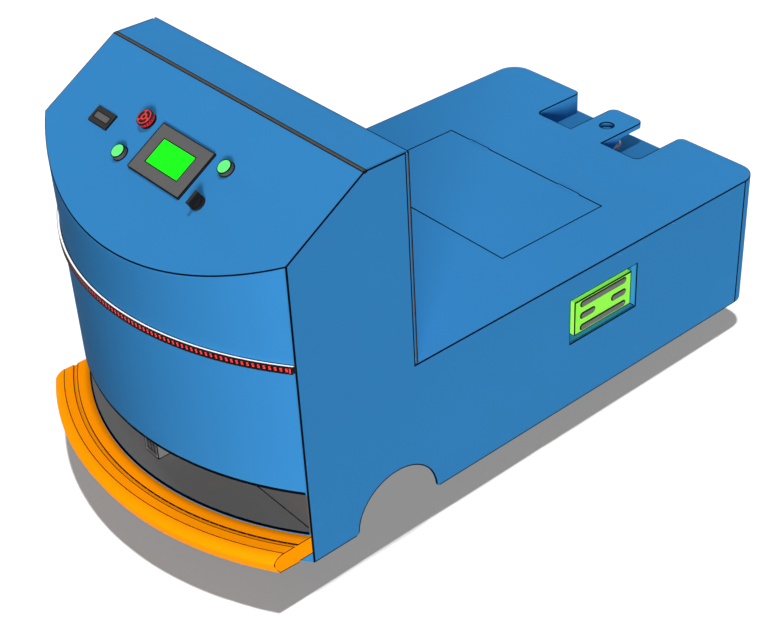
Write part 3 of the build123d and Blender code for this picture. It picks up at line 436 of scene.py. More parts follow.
# The end outline's points are a reach past the round front and a height
def foamSkin(name, steps, outline):
    surface = Surface(name)
    shade = surface.mottled(bumper["orange"], 0.95, 1.04, surface.noise(0.12, 3))
    x, y, z = surface.split(surface.place())
    low = (1 - (z - bumper["foot"]) / bumper["wornHeight"]) | 0.0
    speck = surface.noise(0.01, 4).above(0.6) * low * 0.4
    shade = surface.blend(shade, bumper["worn"], speck & 0.5)
    reach = drumReach(x, y)
    atEnd = abs(y).above(bumper["ends"])
    drawn = reduce(Value.__or__, [abs(reach - step).below(bumper["stepWidth"]) for step in steps])
    drawn = drawn * z.above(bumper["stepLow"]) * (1 - atEnd)
    flat = surface.combine(X=reach, Z=z)
    for line in traced([(ahead, 0, height) for ahead, height in outline], bumper["endLine"]):
        drawn = drawn | surface.nearLine(flat, *line) * atEnd
    shade = surface.blend(shade, bumper["line"], drawn)
    # the emission is painted light: it lifts the orange beyond what the lamps give
    return surface.wire(
        Base_Color=shade, Roughness=surface.noise(0.02, 3) * 0.12 + 0.5, Specular_IOR_Level=0.03,
        Emission_Color=shade, Emission_Strength=bumper["glow"],
        Normal=surface.bump(surface.noise(0.0012, 3), 0.00006))


foamOrange = foamSkin("bumperFoamSkin", bumper["steps"][1:], bumper["foam"])
railOrange = foamSkin("bumperRailCoat", bumper["steps"][:1], bumper["rail"])

# Lamp channel: a white light strip on its upper lip, black edges and black between the lamps
channel = {"lipLow": 0.4132, "lipInner": 0.0018, "lipOuter": 0.0045, "glow": 0.35,
           "white": (linear(238, 238, 236), linear(252, 252, 250)),
           "black": (linear(12, 12, 12), linear(24, 22, 22))}


def lampChannel():
    surface = Surface("lampChannel")
    x, y, z = surface.split(surface.place())
    reach = drumReach(x, y)
    lip = z.above(channel["lipLow"]) * reach.above(channel["lipInner"]) * reach.below(channel["lipOuter"])
    grain = surface.noise(0.002, 3)
    white, black = (surface.blend(*channel[key], grain) for key in ("white", "black"))
    return surface.wire(
        Base_Color=surface.blend(black, white, lip), Roughness=grain * 0.1 + 0.5, Specular_IOR_Level=0.05,
        Emission_Color=surface.blend((0, 0, 0, 1), white, lip), Emission_Strength=channel["glow"],
        Normal=surface.bump(grain, 0.00003))


channelFinish = lampChannel()

# Insulating block: dark outlines round its face and its four slots, each a shift and half a length; its top
# and sides glow, painted light against the shade of the pocket
block = {
    "half": (0.065, 0.031), "face": 0.2985, "faceDepth": 0.0006, "slotRadius": 0.0048, "line": 0.0014,
    "slots": ((0.0, 0.0224, 0.0475), (0.0, -0.0224, 0.0475), (-0.036, 0.0, 0.0115), (0.036, 0.0, 0.0115)),
    "green": linear(150, 255, 79), "glow": 0.45,
}


def insulator():
    surface = Surface("insulatorGreen")
    x, y, z = surface.split(surface.place())
    midX, midZ = body["window"][:2]
    shade = surface.mottled(block["green"], 0.95, 1.05, surface.noise(0.03, 3))
    flat = surface.combine(X=x, Z=z)
    atFace = y.above(block["face"] - block["faceDepth"])
    lines = []
    for shiftX, shiftZ, half in block["slots"]:
        start, end = ((midX + shiftX + way * half, 0, midZ + shiftZ) for way in (-1, 1))
        lines.append(surface.nearLine(flat, start, end, block["slotRadius"] + block["line"]))
    for offset, half in zip((x - midX, z - midZ), block["half"]):
        lines.append(abs(offset).above(half - block["line"]))
    shade = surface.blend(shade, paint["joint"], reduce(Value.__or__, lines) * atFace)
    # everything but the front face glows: painted light
    return surface.wire(
        Base_Color=shade, Roughness=surface.noise(0.01, 3) * 0.14 + 0.43, Specular_IOR_Level=0.1,
        Emission_Color=surface.blend(shade, (0, 0, 0, 1), atFace), Emission_Strength=block["glow"],
        Normal=surface.bump(surface.noise(0.0012, 2), 0.00008))


insulatorGreen = insulator()
print("finishes ready")

# Which finish each carried-over piece wears
worn = {
    shadedSkirtBlue: "side_panel_left side_panel_right rear_shell",
    bodyBlue: "deck_plate hatch_lid hitch_tongue",
    frontBlue: "front_skirt front_cover",
    consoleBlue: "control_panel door_panel",
    glowingPocketBlue: "charge_pocket",
    lightenedBayGrey: "bay_floor bay_ceiling",
    bayShade: "bay_back",
    frameGrey: "frame_rails frame_crossmembers frame_posts battery_tray bogie_frame",
    railOrange: "bumper_rail",
    foamOrange: "bumper_foam",
    caseGrey: "battery_pack control_modules",
    zinc: "pin_guide door_hinge caster_plates electronics_plate caster_fork_left caster_fork_right",
    groundSteel: "slew_mount tow_pin",
    aluminium: "pin_actuator drive_motors drive_hub_left drive_hub_right scanner_rotor",
    rubberBlack: "door_gasket",
    tyreRubber: "drive_tyre_left drive_tyre_right caster_wheel_left caster_wheel_right",
    channelFinish: "led_channel",
    lampRed: "led_modules",
    insulatorGreen: "charge_block",
    contactMetal: "charge_contacts",
    greyPlastic: "hmi_housing button_bezel_left button_bezel_right gauge_window",
    screenGreen: "hmi_screen",
    capGreen: "button_cap_left button_cap_right",
    blackPlastic: "estop_base estop_stem selector_base selector_knob gauge_frame",
    mushroomRed: "estop_head",
    scannerGrey: "scanner_housing",
    lensDark: "scanner_window",
}
dressed = 0
for finish, wearers in worn.items():
    for nodeName in wearers.split():
        mesh = nodes[nodeName].data
        mesh.materials.clear()
        mesh.materials.append(finish)
        dressed += 1
print("nodes dressed:", dressed, "of", len(nodes))

# Camera at the photograph's angle; the angles are in degrees, the lens and sensor in millimetres
view = {
    "spot": (1.3702, 1.6969, 1.6714),
    "turn": 139.095,
    "drop": 33.585,
    "roll": -1.903,
    "lens": 72.72,
    "sensor": 36,
    "shift": (-0.0621, -0.0478),
    "farthest": 50,
}


def makeCamera():
    turn, drop, roll = (math.radians(view[key]) for key in ("turn", "drop", "roll"))
    back = Vector((math.sin(turn) * math.cos(drop), -math.cos(turn) * math.cos(drop), math.sin(drop)))
    right = (-back).cross(Vector((0, 0, 1))).normalized()
    up = right.cross(-back)
    rolledRight = math.cos(roll) * right + math.sin(roll) * up
    rolledUp = math.cos(roll) * up - math.sin(roll) * right
    lens = bpy.data.cameras.new("photoCamera")
    lens.lens = view["lens"]
    lens.sensor_width = view["sensor"]
    lens.shift_x, lens.shift_y = view["shift"]
    lens.clip_end = view["farthest"]
    rig = bpy.data.objects.new("photoCamera", lens)
    turned = Matrix((rolledRight, rolledUp, back)).transposed().to_4x4()
    rig.matrix_world = Matrix.Translation(view["spot"]) @ turned
    scene.collection.objects.link(rig)
    scene.camera = rig


makeCamera()
print("camera placed")

# Floor: pale for the eye and for mirrors, darker for the light that it throws back
floor = {"half": 9.0, "glow": 0.272, "albedo": 0.30, "bounce": 0.05}


def makeFloor():
    half, pale, dim = floor["half"], floor["albedo"], floor["bounce"]
    data = bpy.data.meshes.new("studioFloor")
    corners = [(-half, -half, 0), (half, -half, 0), (half, half, 0), (-half, half, 0)]
    data.from_pydata(corners, [], [(0, 1, 2, 3)])
    sheet = bpy.data.objects.new("studioFloor", data)
    scene.collection.objects.link(sheet)
    surface = Surface("studioFloorWhite")
    seen = surface.rays()
    data.materials.append(surface.wire(
        Base_Color=surface.blend((dim, dim, dim, 1), (pale, pale, pale, 1), seen),
        Emission_Color=surface.blend((0, 0, 0, 1), (1, 1, 1, 1), seen),
        Emission_Strength=floor["glow"], Roughness=1.0, Specular_IOR_Level=0.0))
    return sheet


floorSheet = makeFloor()

# Lamps: one overhead that draws the floor shadow, keys and fills that skip the floor, and its own wash
lamps = {
    "overhead": {"from": (0.0, 0.0, 1.0), "power": 0.465, "softness": 2.5, "lights": "all"},
    "key": {"from": (0.84, 0.83, 0.22), "power": 1.17, "softness": 18.0, "lights": "body"},
    "frontKey": {"from": (0.375, 0.927, 0.22), "power": 1.45, "softness": 12.0, "lights": "front"},
    "rearFill": {"from": (-0.93, 0.02, 0.36), "power": 0.48, "softness": 30.0, "lights": "object"},
    "sideFill": {"from": (-0.20, -0.98, 0.16), "power": 0.55, "softness": 16.0, "lights": "object"},
    "floorWash": {"from": (0.0, 0.0, 1.0), "power": 2.90, "softness": 2.5, "lights": "floor"},
}
lit = {
    "object": ("EXCLUDE", [floorSheet]),
    "body": ("EXCLUDE", [floorSheet, nodes["front_cover"]]),
    "front": ("INCLUDE", [nodes["front_cover"]]),
    "floor": ("INCLUDE", [floorSheet]),
}
lampDistance = 3.0
worldLevel = 0.04


def makeLamps():
    groups = {"all": None}
    for label, (state, members) in lit.items():
        groups[label] = bpy.data.collections.new("lamps_" + label)
        for k, member in enumerate(members):
            groups[label].objects.link(member)
            groups[label].collection_objects[k].light_linking.link_state = state
    for name, lamp in lamps.items():
        data = bpy.data.lights.new(name + "Lamp", "SUN")
        data.energy = lamp["power"] * math.pi
        data.angle = math.radians(lamp["softness"])
        sun = bpy.data.objects.new(name + "Lamp", data)
        sun.rotation_mode = "QUATERNION"
        sun.rotation_quaternion = Vector(lamp["from"]).to_track_quat("Z", "Y")
        sun.location = Vector(lamp["from"]) * lampDistance
        sun.visible_glossy = not name.endswith("Fill")
        scene.collection.objects.link(sun)
        if groups[lamp["lights"]]:
            sun.light_linking.receiver_collection = groups[lamp["lights"]]


def makeWorld():
    world = bpy.data.worlds.new("studioWorld")
    world.use_nodes = True
    scene.world = world
    tree = Tree(world.node_tree)
    tree.nodes.clear()
    level = tree.add("ShaderNodeMapRange", None, {"Value": tree.rays(), "To Min": worldLevel, "To Max": 1.0})
    light = tree.add("ShaderNodeBackground", None, {"Color": (1, 1, 1, 1), "Strength": level})
    tree.add("ShaderNodeOutputWorld", None, {"Surface": light})


makeLamps()
makeWorld()
print("floor, lamps and world ready")


# Every piece is built in place, at the origin, with its faces outward
def addPiece(name, data, finish, rideOn):
    data.materials.clear()
    data.materials.append(finish)
    piece = bpy.data.objects.new(name, data)
    scene.collection.objects.link(piece)
    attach(piece, rideOn)


def finishPiece(name, mesh, finish, rideOn="chassis", smooth=False):
    bmesh.ops.remove_doubles(mesh, verts=mesh.verts, dist=1e-6)
    bmesh.ops.recalc_face_normals(mesh, faces=mesh.faces)
    data = bpy.data.meshes.new(name)
    mesh.to_mesh(data)
    mesh.free()
    for polygon in data.polygons:
        polygon.use_smooth = smooth
    addPiece(name, data, finish, rideOn)


def slab(mesh, corners, lift):
    low = [mesh.verts.new(Vector(corner)) for corner in corners]
    high = [mesh.verts.new(Vector(corner) + Vector(lift)) for corner in corners]
    mesh.faces.new(low[::-1])
    mesh.faces.new(high)
    for i in range(len(corners)):
        mesh.faces.new((low[i - 1], low[i], high[i], high[i - 1]))


def frameRing(mesh, outer, inner, lift):
    rings = [[mesh.verts.new(Vector(point) + up) for point in loop]
             for loop in (outer, inner) for up in (Vector((0, 0, 0)), Vector(lift))]
    outLow, outHigh, inLow, inHigh = rings
    for i in range(len(outer)):
        for first, second in ((outLow, outHigh), (inHigh, inLow), (outHigh, inHigh), (inLow, outLow)):
            mesh.faces.new((first[i - 1], first[i], second[i], second[i - 1]))


# Turns a profile of (radius, height) points round an axis
def lathe(mesh, profile, origin, axis, segments=48):
    axis = Vector(axis).normalized()
    side = axis.orthogonal().normalized()
    other = axis.cross(side)
    turns = [2 * math.pi * k / segments for k in range(segments)]
    rows = []
    for radius, height in profile:
        center = Vector(origin) + axis * height
        spots = [center + radius * (math.cos(turn) * side + math.sin(turn) * other) for turn in turns]
        rows.append([mesh.verts.new(spot) for spot in (spots if radius else [center])])
    for first, second in zip(rows, rows[1:]):
        for k in range(segments):
            n = (k + 1) % segments
            if len(first) == 1:
                mesh.faces.new((first[0], second[k], second[n]))
            elif len(second) == 1:
                mesh.faces.new((first[k], first[n], second[0]))
            else:
                mesh.faces.new((first[k], first[n], second[n], second[k]))


def turned(name, profile, origin, axis, finish, rideOn="chassis", segments=48):
    mesh = bmesh.new()
    lathe(mesh, profile, origin, axis, segments)
    finishPiece(name, mesh, finish, rideOn, True)


# Corner points of a rectangle across an axis, at a place on it
def rectangle(low, high, axis, place):
    first, second = (k for k in range(3) if k != axis)
    points = []
    for one, other in ((low, low), (high, low), (high, high), (low, high)):
        point = [place, place, place]
        point[first], point[second] = one[first], other[second]
        points.append(tuple(point))
    return points


# Spots spread round a circle; place makes a point of the two offsets from its middle
def circle(count, radius, place, start=0.0):
    turns = (start + 2 * math.pi * k / count for k in range(count))
    return [place(radius * math.cos(turn), radius * math.sin(turn)) for turn in turns]


# Geometry Nodes: one tree sets round heads, another sets bars, on points that carry their turn
crownShape = {"width": 0.72, "rise": 0.3}


def headItem(tree, given):
    radius, height, sides = (given(name) for name in ("Head Radius", "Head Height", "Sides"))
    shaft = tree.add("GeometryNodeMeshCylinder", None, {"Vertices": sides, "Radius": radius, "Depth": height})
    crown = tree.add("GeometryNodeMeshCone", None, {
        "Vertices": sides, "Radius Bottom": radius, "Radius Top": radius * crownShape["width"],
        "Depth": height * crownShape["rise"]})
    items = [tree.add("GeometryNodeTransform", None, {"Geometry": item, "Translation": tree.combine(Z=lift)})
             for item, lift in ((crown, height), (shaft, height * 0.5))]
    joined = tree.add("GeometryNodeJoinGeometry")
    for item in items:
        tree.links.new(item.socket, joined.socket.node.inputs[0])
    return joined


def barItem(tree, given):
    return tree.add("GeometryNodeMeshCube", None, {"Size": given("Bar Size")})


def instanceTree(name, sizes, makeItem):
    group = bpy.data.node_groups.new(name, "GeometryNodeTree")
    sockets = [("Geometry", "INPUT", "Geometry"), ("Geometry", "OUTPUT", "Geometry")]
    sockets += [(label, "INPUT", kind) for label, kind in sizes.items()] + [("Finish", "INPUT", "Material")]
    ids = {}
    for label, way, kind in sockets:
        socket = group.interface.new_socket(label, in_out=way, socket_type="NodeSocket" + kind)
        ids[label] = socket.identifier
    tree = Tree(group)

    def given(label):
        return tree.add("NodeGroupInput", output=label)

    turn = tree.add("GeometryNodeInputNamedAttribute", {"data_type": "FLOAT_VECTOR"}, {"Name": "turn"})
    spread = tree.add("GeometryNodeInstanceOnPoints", None, {
        "Points": given("Geometry"), "Instance": makeItem(tree, given), "Rotation": turn})
    real = tree.add("GeometryNodeRealizeInstances", None, {0: spread})
    coat = tree.add("GeometryNodeSetMaterial", None, {"Geometry": real, "Material": given("Finish")})
    tree.add("NodeGroupOutput", None, {0: coat})
    return group, ids


headTree = instanceTree(
    "roundHeads", {"Head Radius": "Float", "Head Height": "Float", "Sides": "Int"}, headItem)
barTree = instanceTree("bars", {"Bar Size": "Vector"}, barItem)


# A spot is a point, or a pair of a point and its own turn
def scatter(name, tree, sizes, spots, finish, rideOn, turn):
    group, ids = tree
    pairs = [spot if len(spot) == 2 else (spot, turn) for spot in spots]
    points = bpy.data.meshes.new(name + "Points")
    points.from_pydata([tuple(spot) for spot, turn in pairs], [], [])
    turns = points.attributes.new("turn", "FLOAT_VECTOR", "POINT")
    for row, (spot, turn) in zip(turns.data, pairs):
        row.vector = turn.to_euler()
    carrier = bpy.data.objects.new(name + "Carrier", points)
    scene.collection.objects.link(carrier)
    modifier = carrier.modifiers.new("spread", "NODES")
    modifier.node_group = group
    for label, value in {**sizes, "Finish": finish}.items():
        modifier[ids[label]] = value
    result = bpy.data.meshes.new_from_object(carrier.evaluated_get(bpy.context.evaluated_depsgraph_get()))
    bpy.data.objects.remove(carrier)
    addPiece(name, result, finish, rideOn)


# Turns: none, facing along an axis, or standing on the panel with its X the given way
upright = Matrix.Identity(3).to_quaternion()


def facing(*axis):
    return Vector(axis).to_track_quat("Z", "Y")


def standing(around):
    return Matrix((around, panelOut.cross(around), panelOut)).transposed().to_quaternion()


# A head's size is its radius, height and number of sides
def heads(name, size, spots, finish, turn, rideOn="chassis"):
    sizes = dict(zip(("Head Radius", "Head Height", "Sides"), size))
    scatter(name, headTree, sizes, spots, finish, rideOn, turn)


def bars(name, size, spots, finish, rideOn="chassis", turn=upright):
    scatter(name, barTree, {"Bar Size": size}, spots, finish, rideOn, turn)


print("helpers ready")

# Controls on the sloped panel: places are (y, distance up the slope)
controls = {
    "buttons": {"left": (0.0966, 0.0682), "right": (-0.098, 0.0074)},
    "estop": (-0.0975, 0.069), "selector": (0.096, 0.0073),
    "screen": (-0.002, 0.0376), "gauge": (-0.1815, 0.0372),
}
darkRubber = plastic("gasketBlack", linear(8, 8, 9), 0.75, 0.0006, 0.00004, 0.1)
markPale = plastic("pointerPale", linear(150, 150, 150), 0.5)
knurlDark = plastic("knurlDark", linear(40, 40, 41), 0.5)
estopDark = plastic("arrowBlack", linear(10, 8, 8), 0.5, 0.0008, 0.00002, 0.15)


# A frame's corner rounding is that of its outer edge
def panelRect(y, up, width, height, out, rounding, steps=5):
    points = []
    for signY, signUp, start in ((1, 1, 0), (-1, 1, 90), (-1, -1, 180), (1, -1, 270)):
        centerY, centerUp = y + signY * (width / 2 - rounding), up + signUp * (height / 2 - rounding)
        for k in range(steps + 1):
            turn = math.radians(start + 90 * k / steps)
            across, along = rounding * math.cos(turn), rounding * math.sin(turn)
            points.append(onPanel(centerY + across, centerUp + along, out))
    return points


# Flat frames: what they go round, opening, border, height off the panel, thickness, corner rounding
frames = {
    "screenGasket": ("screen", 0.125, 0.0795, 0.0014, 0.0, 0.0012, 0.002),
    "screenTopFrame": ("screen", 0.125, 0.0795, 0.0008, 0.0022, 0.0020, 0.002),
    "screenInnerFrame": ("screen", 0.0773, 0.041, 0.0015, 0.0040, 0.0003, 0.001),
    "gaugeGasket": ("gauge", 0.047, 0.0255, 0.0010, 0.0, 0.0008, 0.0012),
    "gaugeInnerFrame": ("gauge", 0.035, 0.010, 0.0012, 0.0030, 0.0003, 0.0008),
}
sharpest = 0.0003
for name, (device, width, height, border, out, thick, corner) in frames.items():
    mesh = bmesh.new()
    outer = panelRect(*controls[device], width + 2 * border, height + 2 * border, out, corner)
    inner = panelRect(*controls[device], width, height, out, max(corner - border, sharpest))
    frameRing(mesh, outer, inner, panelOut * thick)
    finishPiece(name, mesh, darkRubber)


# Spots and turns of small bars set in a ring round a control
def panelRing(place, count, radius, out):
    def spot(across, along):
        around = across * Vector((0, 1, 0)) + along * panelUp
        return onPanel(*place) + around + panelOut * out, standing(around.normalized())
    return circle(count, radius, spot)


button = {
    "Rim": [(0.0101, 0.0074), (0.0097, 0.0081), (0.0106, 0.0084), (0.0113, 0.0083),
            (0.0117, 0.0078), (0.0117, 0.0070), (0.0114, 0.0068), (0.0101, 0.0074)],
    "Gasket": [(0.0115, 0.0), (0.0131, 0.0), (0.0131, 0.0006), (0.0125, 0.0011), (0.0115, 0.0011),
               (0.0115, 0.0)],
    "knurls": (28, 0.01155, 0.0042), "knurl": (0.0005, 0.0010, 0.0046),
}
for side, place in controls["buttons"].items():
    for part in ("Rim", "Gasket"):
        turned(f"button{part}_{side}", button[part], onPanel(*place), panelOut, darkRubber)
    bars(f"buttonKnurl_{side}", button["knurl"], panelRing(place, *button["knurls"]), greyPlastic)
print("screen, gauge and buttons trimmed")

# Mushroom head: turning arrows, grip notches and a seat ring; angles are in degrees
estop = {
    "headTop": 0.0120, "sink": 0.0002, "thick": 0.0006,
    "starts": (10, 130, 250), "sweep": 78, "steps": 8, "inner": 0.0059, "outer": 0.0105,
    "tip": (0.0054, 0.0110, 0.0082), "tipSweep": 26,
    "dome": [(0.0, 0.0003), (0.0026, 0.0003), (0.0030, -0.0002), (0.0, -0.0002)],
    "ring": [(0.0118, -0.0012), (0.0132, -0.0016), (0.0136, -0.0028), (0.0141, -0.0028),
             (0.0137, -0.0010), (0.0120, -0.0004), (0.0118, -0.0012)],
    "notches": (20, 0.01385, 0.0082), "notch": (0.0007, 0.0011, 0.0040),
    "seat": [(0.0118, 0.0), (0.0138, 0.0), (0.0138, 0.0009), (0.0129, 0.0016), (0.0118, 0.0016),
             (0.0118, 0.0)],
}


def onHead(radius, degrees):
    y, up = controls["estop"]
    across, along = radius * math.cos(math.radians(degrees)), radius * math.sin(math.radians(degrees))
    return onPanel(y + across, up + along, estop["headTop"] - estop["sink"])


mesh = bmesh.new()
lift = panelOut * estop["thick"]
inner, outer = estop["inner"], estop["outer"]
for start in estop["starts"]:
    angles = [start + estop["sweep"] * k / estop["steps"] for k in range(estop["steps"] + 1)]
    for first, second in zip(angles, angles[1:]):
        corners = ((inner, first), (outer, first), (outer, second), (inner, second))
        slab(mesh, [onHead(*corner) for corner in corners], lift)
    turns = (angles[-1], angles[-1], angles[-1] + estop["tipSweep"])
    slab(mesh, [onHead(*corner) for corner in zip(estop["tip"], turns)], lift)
for part, segments in (("dome", 20), ("ring", 36)):
    lathe(mesh, estop[part], onPanel(*controls["estop"], estop["headTop"]), panelOut, segments)
finishPiece("estopArrows", mesh, estopDark, "estop_mushroom")
notches = panelRing(controls["estop"], *estop["notches"])
bars("estopNotches", estop["notch"], notches, estopDark, "estop_mushroom")
turned("estopSeatRing", estop["seat"], onPanel(*controls["estop"]), panelOut, darkRubber)

# Selector: knurled ring and two pale pointer lines along the lever
selector = {"knurls": (30, 0.0116, 0.0020), "knurl": (0.0007, 0.0012, 0.0034),
            "line": (0.0008, 0.0136, 0.0004), "shifts": (-0.0018, 0.0018), "lineOut": 0.0121}
bars("selectorKnurl", selector["knurl"], panelRing(controls["selector"], *selector["knurls"]), knurlDark)
y, up = controls["selector"]
lines = [onPanel(y + shift, up, selector["lineOut"]) for shift in selector["shifts"]]
bars("selectorLines", selector["line"], lines, markPale, "selector", standing(Vector((0, 1, 0))))
print("stop head and selector detailed")

# Seal strip in the gap between the sloped panel and the lifting roof
roofSeal = {"low": (roofFrontX - 0.0023, -0.295), "high": (roofFrontX - 0.0007, 0.295), "z": (0.6515, 0.6548)}
mesh = bmesh.new()
low, high = roofSeal["z"]
slab(mesh, rectangle(roofSeal["low"], roofSeal["high"], 2, low), (0, 0, high - low))
finishPiece("roofSealStrip", mesh, sealGrey)

# Rounded inner corners of the rear notch
notchCorner = {"radius": 0.014, "top": 0.3049, "bottom": 0.2651, "steps": 8}
mesh = bmesh.new()
for sign in (1, -1):
    cornerX, cornerY, radius = body["notchX"], sign * body["notchHalf"], notchCorner["radius"]
    turns = [math.pi / 2 * k / notchCorner["steps"] for k in range(notchCorner["steps"] + 1)]
    points = [(cornerX, cornerY)] + [(cornerX - radius * (1 - math.sin(turn)),
                                      cornerY - sign * radius * (1 - math.cos(turn))) for turn in turns]
    slab(mesh, [(x, y, notchCorner["bottom"]) for x, y in points],
         (0, 0, notchCorner["top"] - notchCorner["bottom"]))
finishPiece("notchCorners", mesh, bodyBlue)
print("roof seal and notch corners ready")

# Lamp band: lens ribs on each lamp and one more lamp at each end
band = {
    "pitch": 0.008, "count": 77, "faceRadius": 0.5157, "z": 0.40725, "lamp": (0.0016, 0.006, 0.008),
    "tip": (0.0010, 0.0020, 0.0074), "tipBeyond": 1.60, "tipProud": 0.0054,
    "rib": (0.0006, 0.0016, 0.0078), "ribShift": 0.0026, "edge": (0.0006, 0.0074, 0.0014), "edgeLift": 0.0036,
    "bridge": (0.0006, 0.0014, 0.0011), "bridgePlace": (0.0010, 0.0012),
}


def bandSpot(index, radius, shift=0.0, lift=0.0):
    turn = Matrix.Rotation(index * band["pitch"] / band["faceRadius"], 3, "Z")
    return Vector((arcX, 0, band["z"])) + turn @ Vector((radius, shift, lift)), turn.to_quaternion()


endLamp = (band["count"] + 1) // 2
lampTop = max(math.hypot(v.co.x - arcX, v.co.y) for v in nodes["led_modules"].data.vertices)
middle, tipRadius = lampTop - band["lamp"][0] / 2, body["frontRadius"] + band["tipProud"]
tip = endLamp - 1 + band["tipBeyond"]
bars("bandEndLamps", band["lamp"], [bandSpot(k, middle) for k in (-endLamp, endLamp)], lampRed)
bars("bandTipLamps", band["tip"], [bandSpot(k, tipRadius) for k in (-tip, tip)], lampRed)
marks = ("lampRibs", "rib", band["ribShift"], 0), ("lampEdges", "edge", 0, band["edgeLift"])
for name, part, shift, lift in (*marks, ("lampBridges", "bridge", *band["bridgePlace"])):
    bars(name, band[part], [bandSpot(k, lampTop, way * shift, way * lift)
                            for k in range(-endLamp, endLamp + 1) for way in (-1, 1)], darkRubber)

# Laser scanner: window grille, front screws, trim and dark edges
scanner = {
    "row": (0.0006, 0.026, 0.0012), "rows": (0.12, 0.34, 0.56, 0.78),
    "column": (0.0006, 0.0010), "columnShare": 0.84, "columns": (-0.0085, 0.0, 0.0085), "sink": 0.0001,
    "screw": (0.0014, 0.0009, 12), "screwAside": 0.0138, "screwRise": 0.0045,
    "trim": 0.0014, "trimHalf": 0.0004,
    "edge": 0.0013, "edgeCut": 0.003, "edgeInset": 0.0003, "edgeRear": 0.001,
}
low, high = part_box("scanner_window")
caseLow, caseHigh = (Vector(corner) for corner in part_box("scanner_housing"))
middle = (caseLow + caseHigh) / 2
face, tall = max(high[0], caseHigh.x) - scanner["sink"], high[2] - low[2]
bars("scannerGrilleRows", scanner["row"],
     [(face, middle.y, low[2] + tall * share) for share in scanner["rows"]], darkRubber)
bars("scannerGrilleColumns", (*scanner["column"], tall * scanner["columnShare"]),
     [(face, middle.y + shift, low[2] + tall / 2) for shift in scanner["columns"]], darkRubber)
screws = [(caseHigh.x, middle.y + way * scanner["screwAside"], caseLow.z + scanner["screwRise"])
          for way in (-1, 1)]
heads("scannerScrews", scanner["screw"], screws, zinc, facing(1, 0, 0))
mesh = bmesh.new()
for z in (caseLow.z, caseHigh.z - scanner["trim"]):
    loops = []
    for grow in (scanner["trimHalf"], -scanner["trimHalf"]):
        corner = (caseLow.x - min(grow, 0), caseLow.y - grow)
        loops.append(rectangle(corner, (caseHigh.x + grow, caseHigh.y + grow), 2, z))
    frameRing(mesh, *loops, (0, 0, scanner["trim"]))
finishPiece("scannerTrim", mesh, darkRubber)
left, right, front = (caseHigh.y - scanner["edgeInset"], caseLow.y + scanner["edgeInset"],
                      caseHigh.x - scanner["edgeInset"])
places = ((front, left), (front, right), (caseLow.x + scanner["edgeRear"], left))
bars("scannerEdges", (scanner["edge"], scanner["edge"], caseHigh.z - caseLow.z - scanner["edgeCut"]),
     [(x, y, middle.z) for x, y in places], darkRubber)
print("lamp band and scanner detailed")

# Charging contact: seal round the insulator
chargeSeal = {"width": 0.0010, "sink": 0.0012, "thick": 0.0008}
low, high = (Vector(corner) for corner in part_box("charge_block"))
grow, face = Vector((1, 0, 1)) * chargeSeal["width"], high.y - chargeSeal["sink"]
mesh = bmesh.new()
frameRing(mesh, rectangle(low - grow, high + grow, 1, face), rectangle(low, high, 1, face),
          (0, chargeSeal["thick"], 0))
finishPiece("chargeBlockSeal", mesh, darkRubber)

# Hitch: cap screws round the pin guide's flange
guide = {"circle": (4, 0.0225), "screw": (0.0026, 0.0022, 6)}
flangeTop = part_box("pin_guide")[1][2]
screws = circle(*guide["circle"], lambda x, y: (body["hitchX"] + x, y, flangeTop), math.pi / 4)
heads("guideScrews", guide["screw"], screws, groundSteel, facing(0, 0, 1))
print("charging contact and hitch detailed")

# Running gear: wheel bolts, hub caps, caster plate bolts and axle nuts
gear = {
    "webY": 0.085 + 0.035 / 3, "wheelCircle": (5, 0.030), "wheelBolt": (0.0042, 0.0032, 6),
    "cap": [(0.0, 0.0016), (0.0070, 0.0016), (0.0096, 0.0004), (0.0100, -0.0014), (0.0, -0.0014)],
    "capY": 0.111, "casterY": 0.2, "casterRadius": 0.05, "axleNut": (0.0085, 0.0035, 6),
    "plateBolt": (0.0055, 0.0038, 6), "plateBoltPlace": (0.044, 0.082, 0.129),
    "slewCircle": (8, 0.058), "slewBolt": (0.0034, 0.0002, 6),
}
for side, sign in (("left", 1), ("right", -1)):
    low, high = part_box(f"drive_hub_{side}")
    hubX, hubZ = (low[0] + high[0]) / 2, (low[2] + high[2]) / 2
    bolts = circle(*gear["wheelCircle"], lambda x, z: (hubX + x, sign * gear["webY"], hubZ + z))
    heads(f"wheelBolts_{side}", gear["wheelBolt"], bolts, zinc, facing(0, sign, 0), f"drive_wheel_{side}")
    turned(f"hubCap_{side}", gear["cap"], (hubX, sign * gear["capY"], hubZ), (0, sign, 0),
           blackPlastic, f"drive_wheel_{side}", 28)
    low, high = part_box(f"caster_fork_{side}")
    axleX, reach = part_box(f"caster_wheel_{side}")[0][0] + gear["casterRadius"], (high[1] - low[1]) / 2
    nuts = [((axleX, sign * gear["casterY"] + way * reach, gear["casterRadius"]), facing(0, way, 0))
            for way in (-1, 1)]
    heads(f"casterAxleNuts_{side}", gear["axleNut"], nuts, zinc, None, f"caster_{side}")
low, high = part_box("caster_plates")
ahead, aside, under = gear["plateBoltPlace"]
bolts = [((low[0] + high[0]) / 2 + sx * ahead, sy * (gear["casterY"] + sz * aside), under)
         for sx in (-1, 1) for sy in (-1, 1) for sz in (-1, 1)]
heads("casterPlateBolts", gear["plateBolt"], bolts, zinc, facing(0, 0, -1))
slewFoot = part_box("slew_mount")[0][2]
bolts = circle(*gear["slewCircle"], lambda x, y: (archX + x, y, slewFoot), math.pi / 8)
heads("slewRingBolts", gear["slewBolt"], bolts, groundSteel, facing(0, 0, -1))
print("running gear bolted")

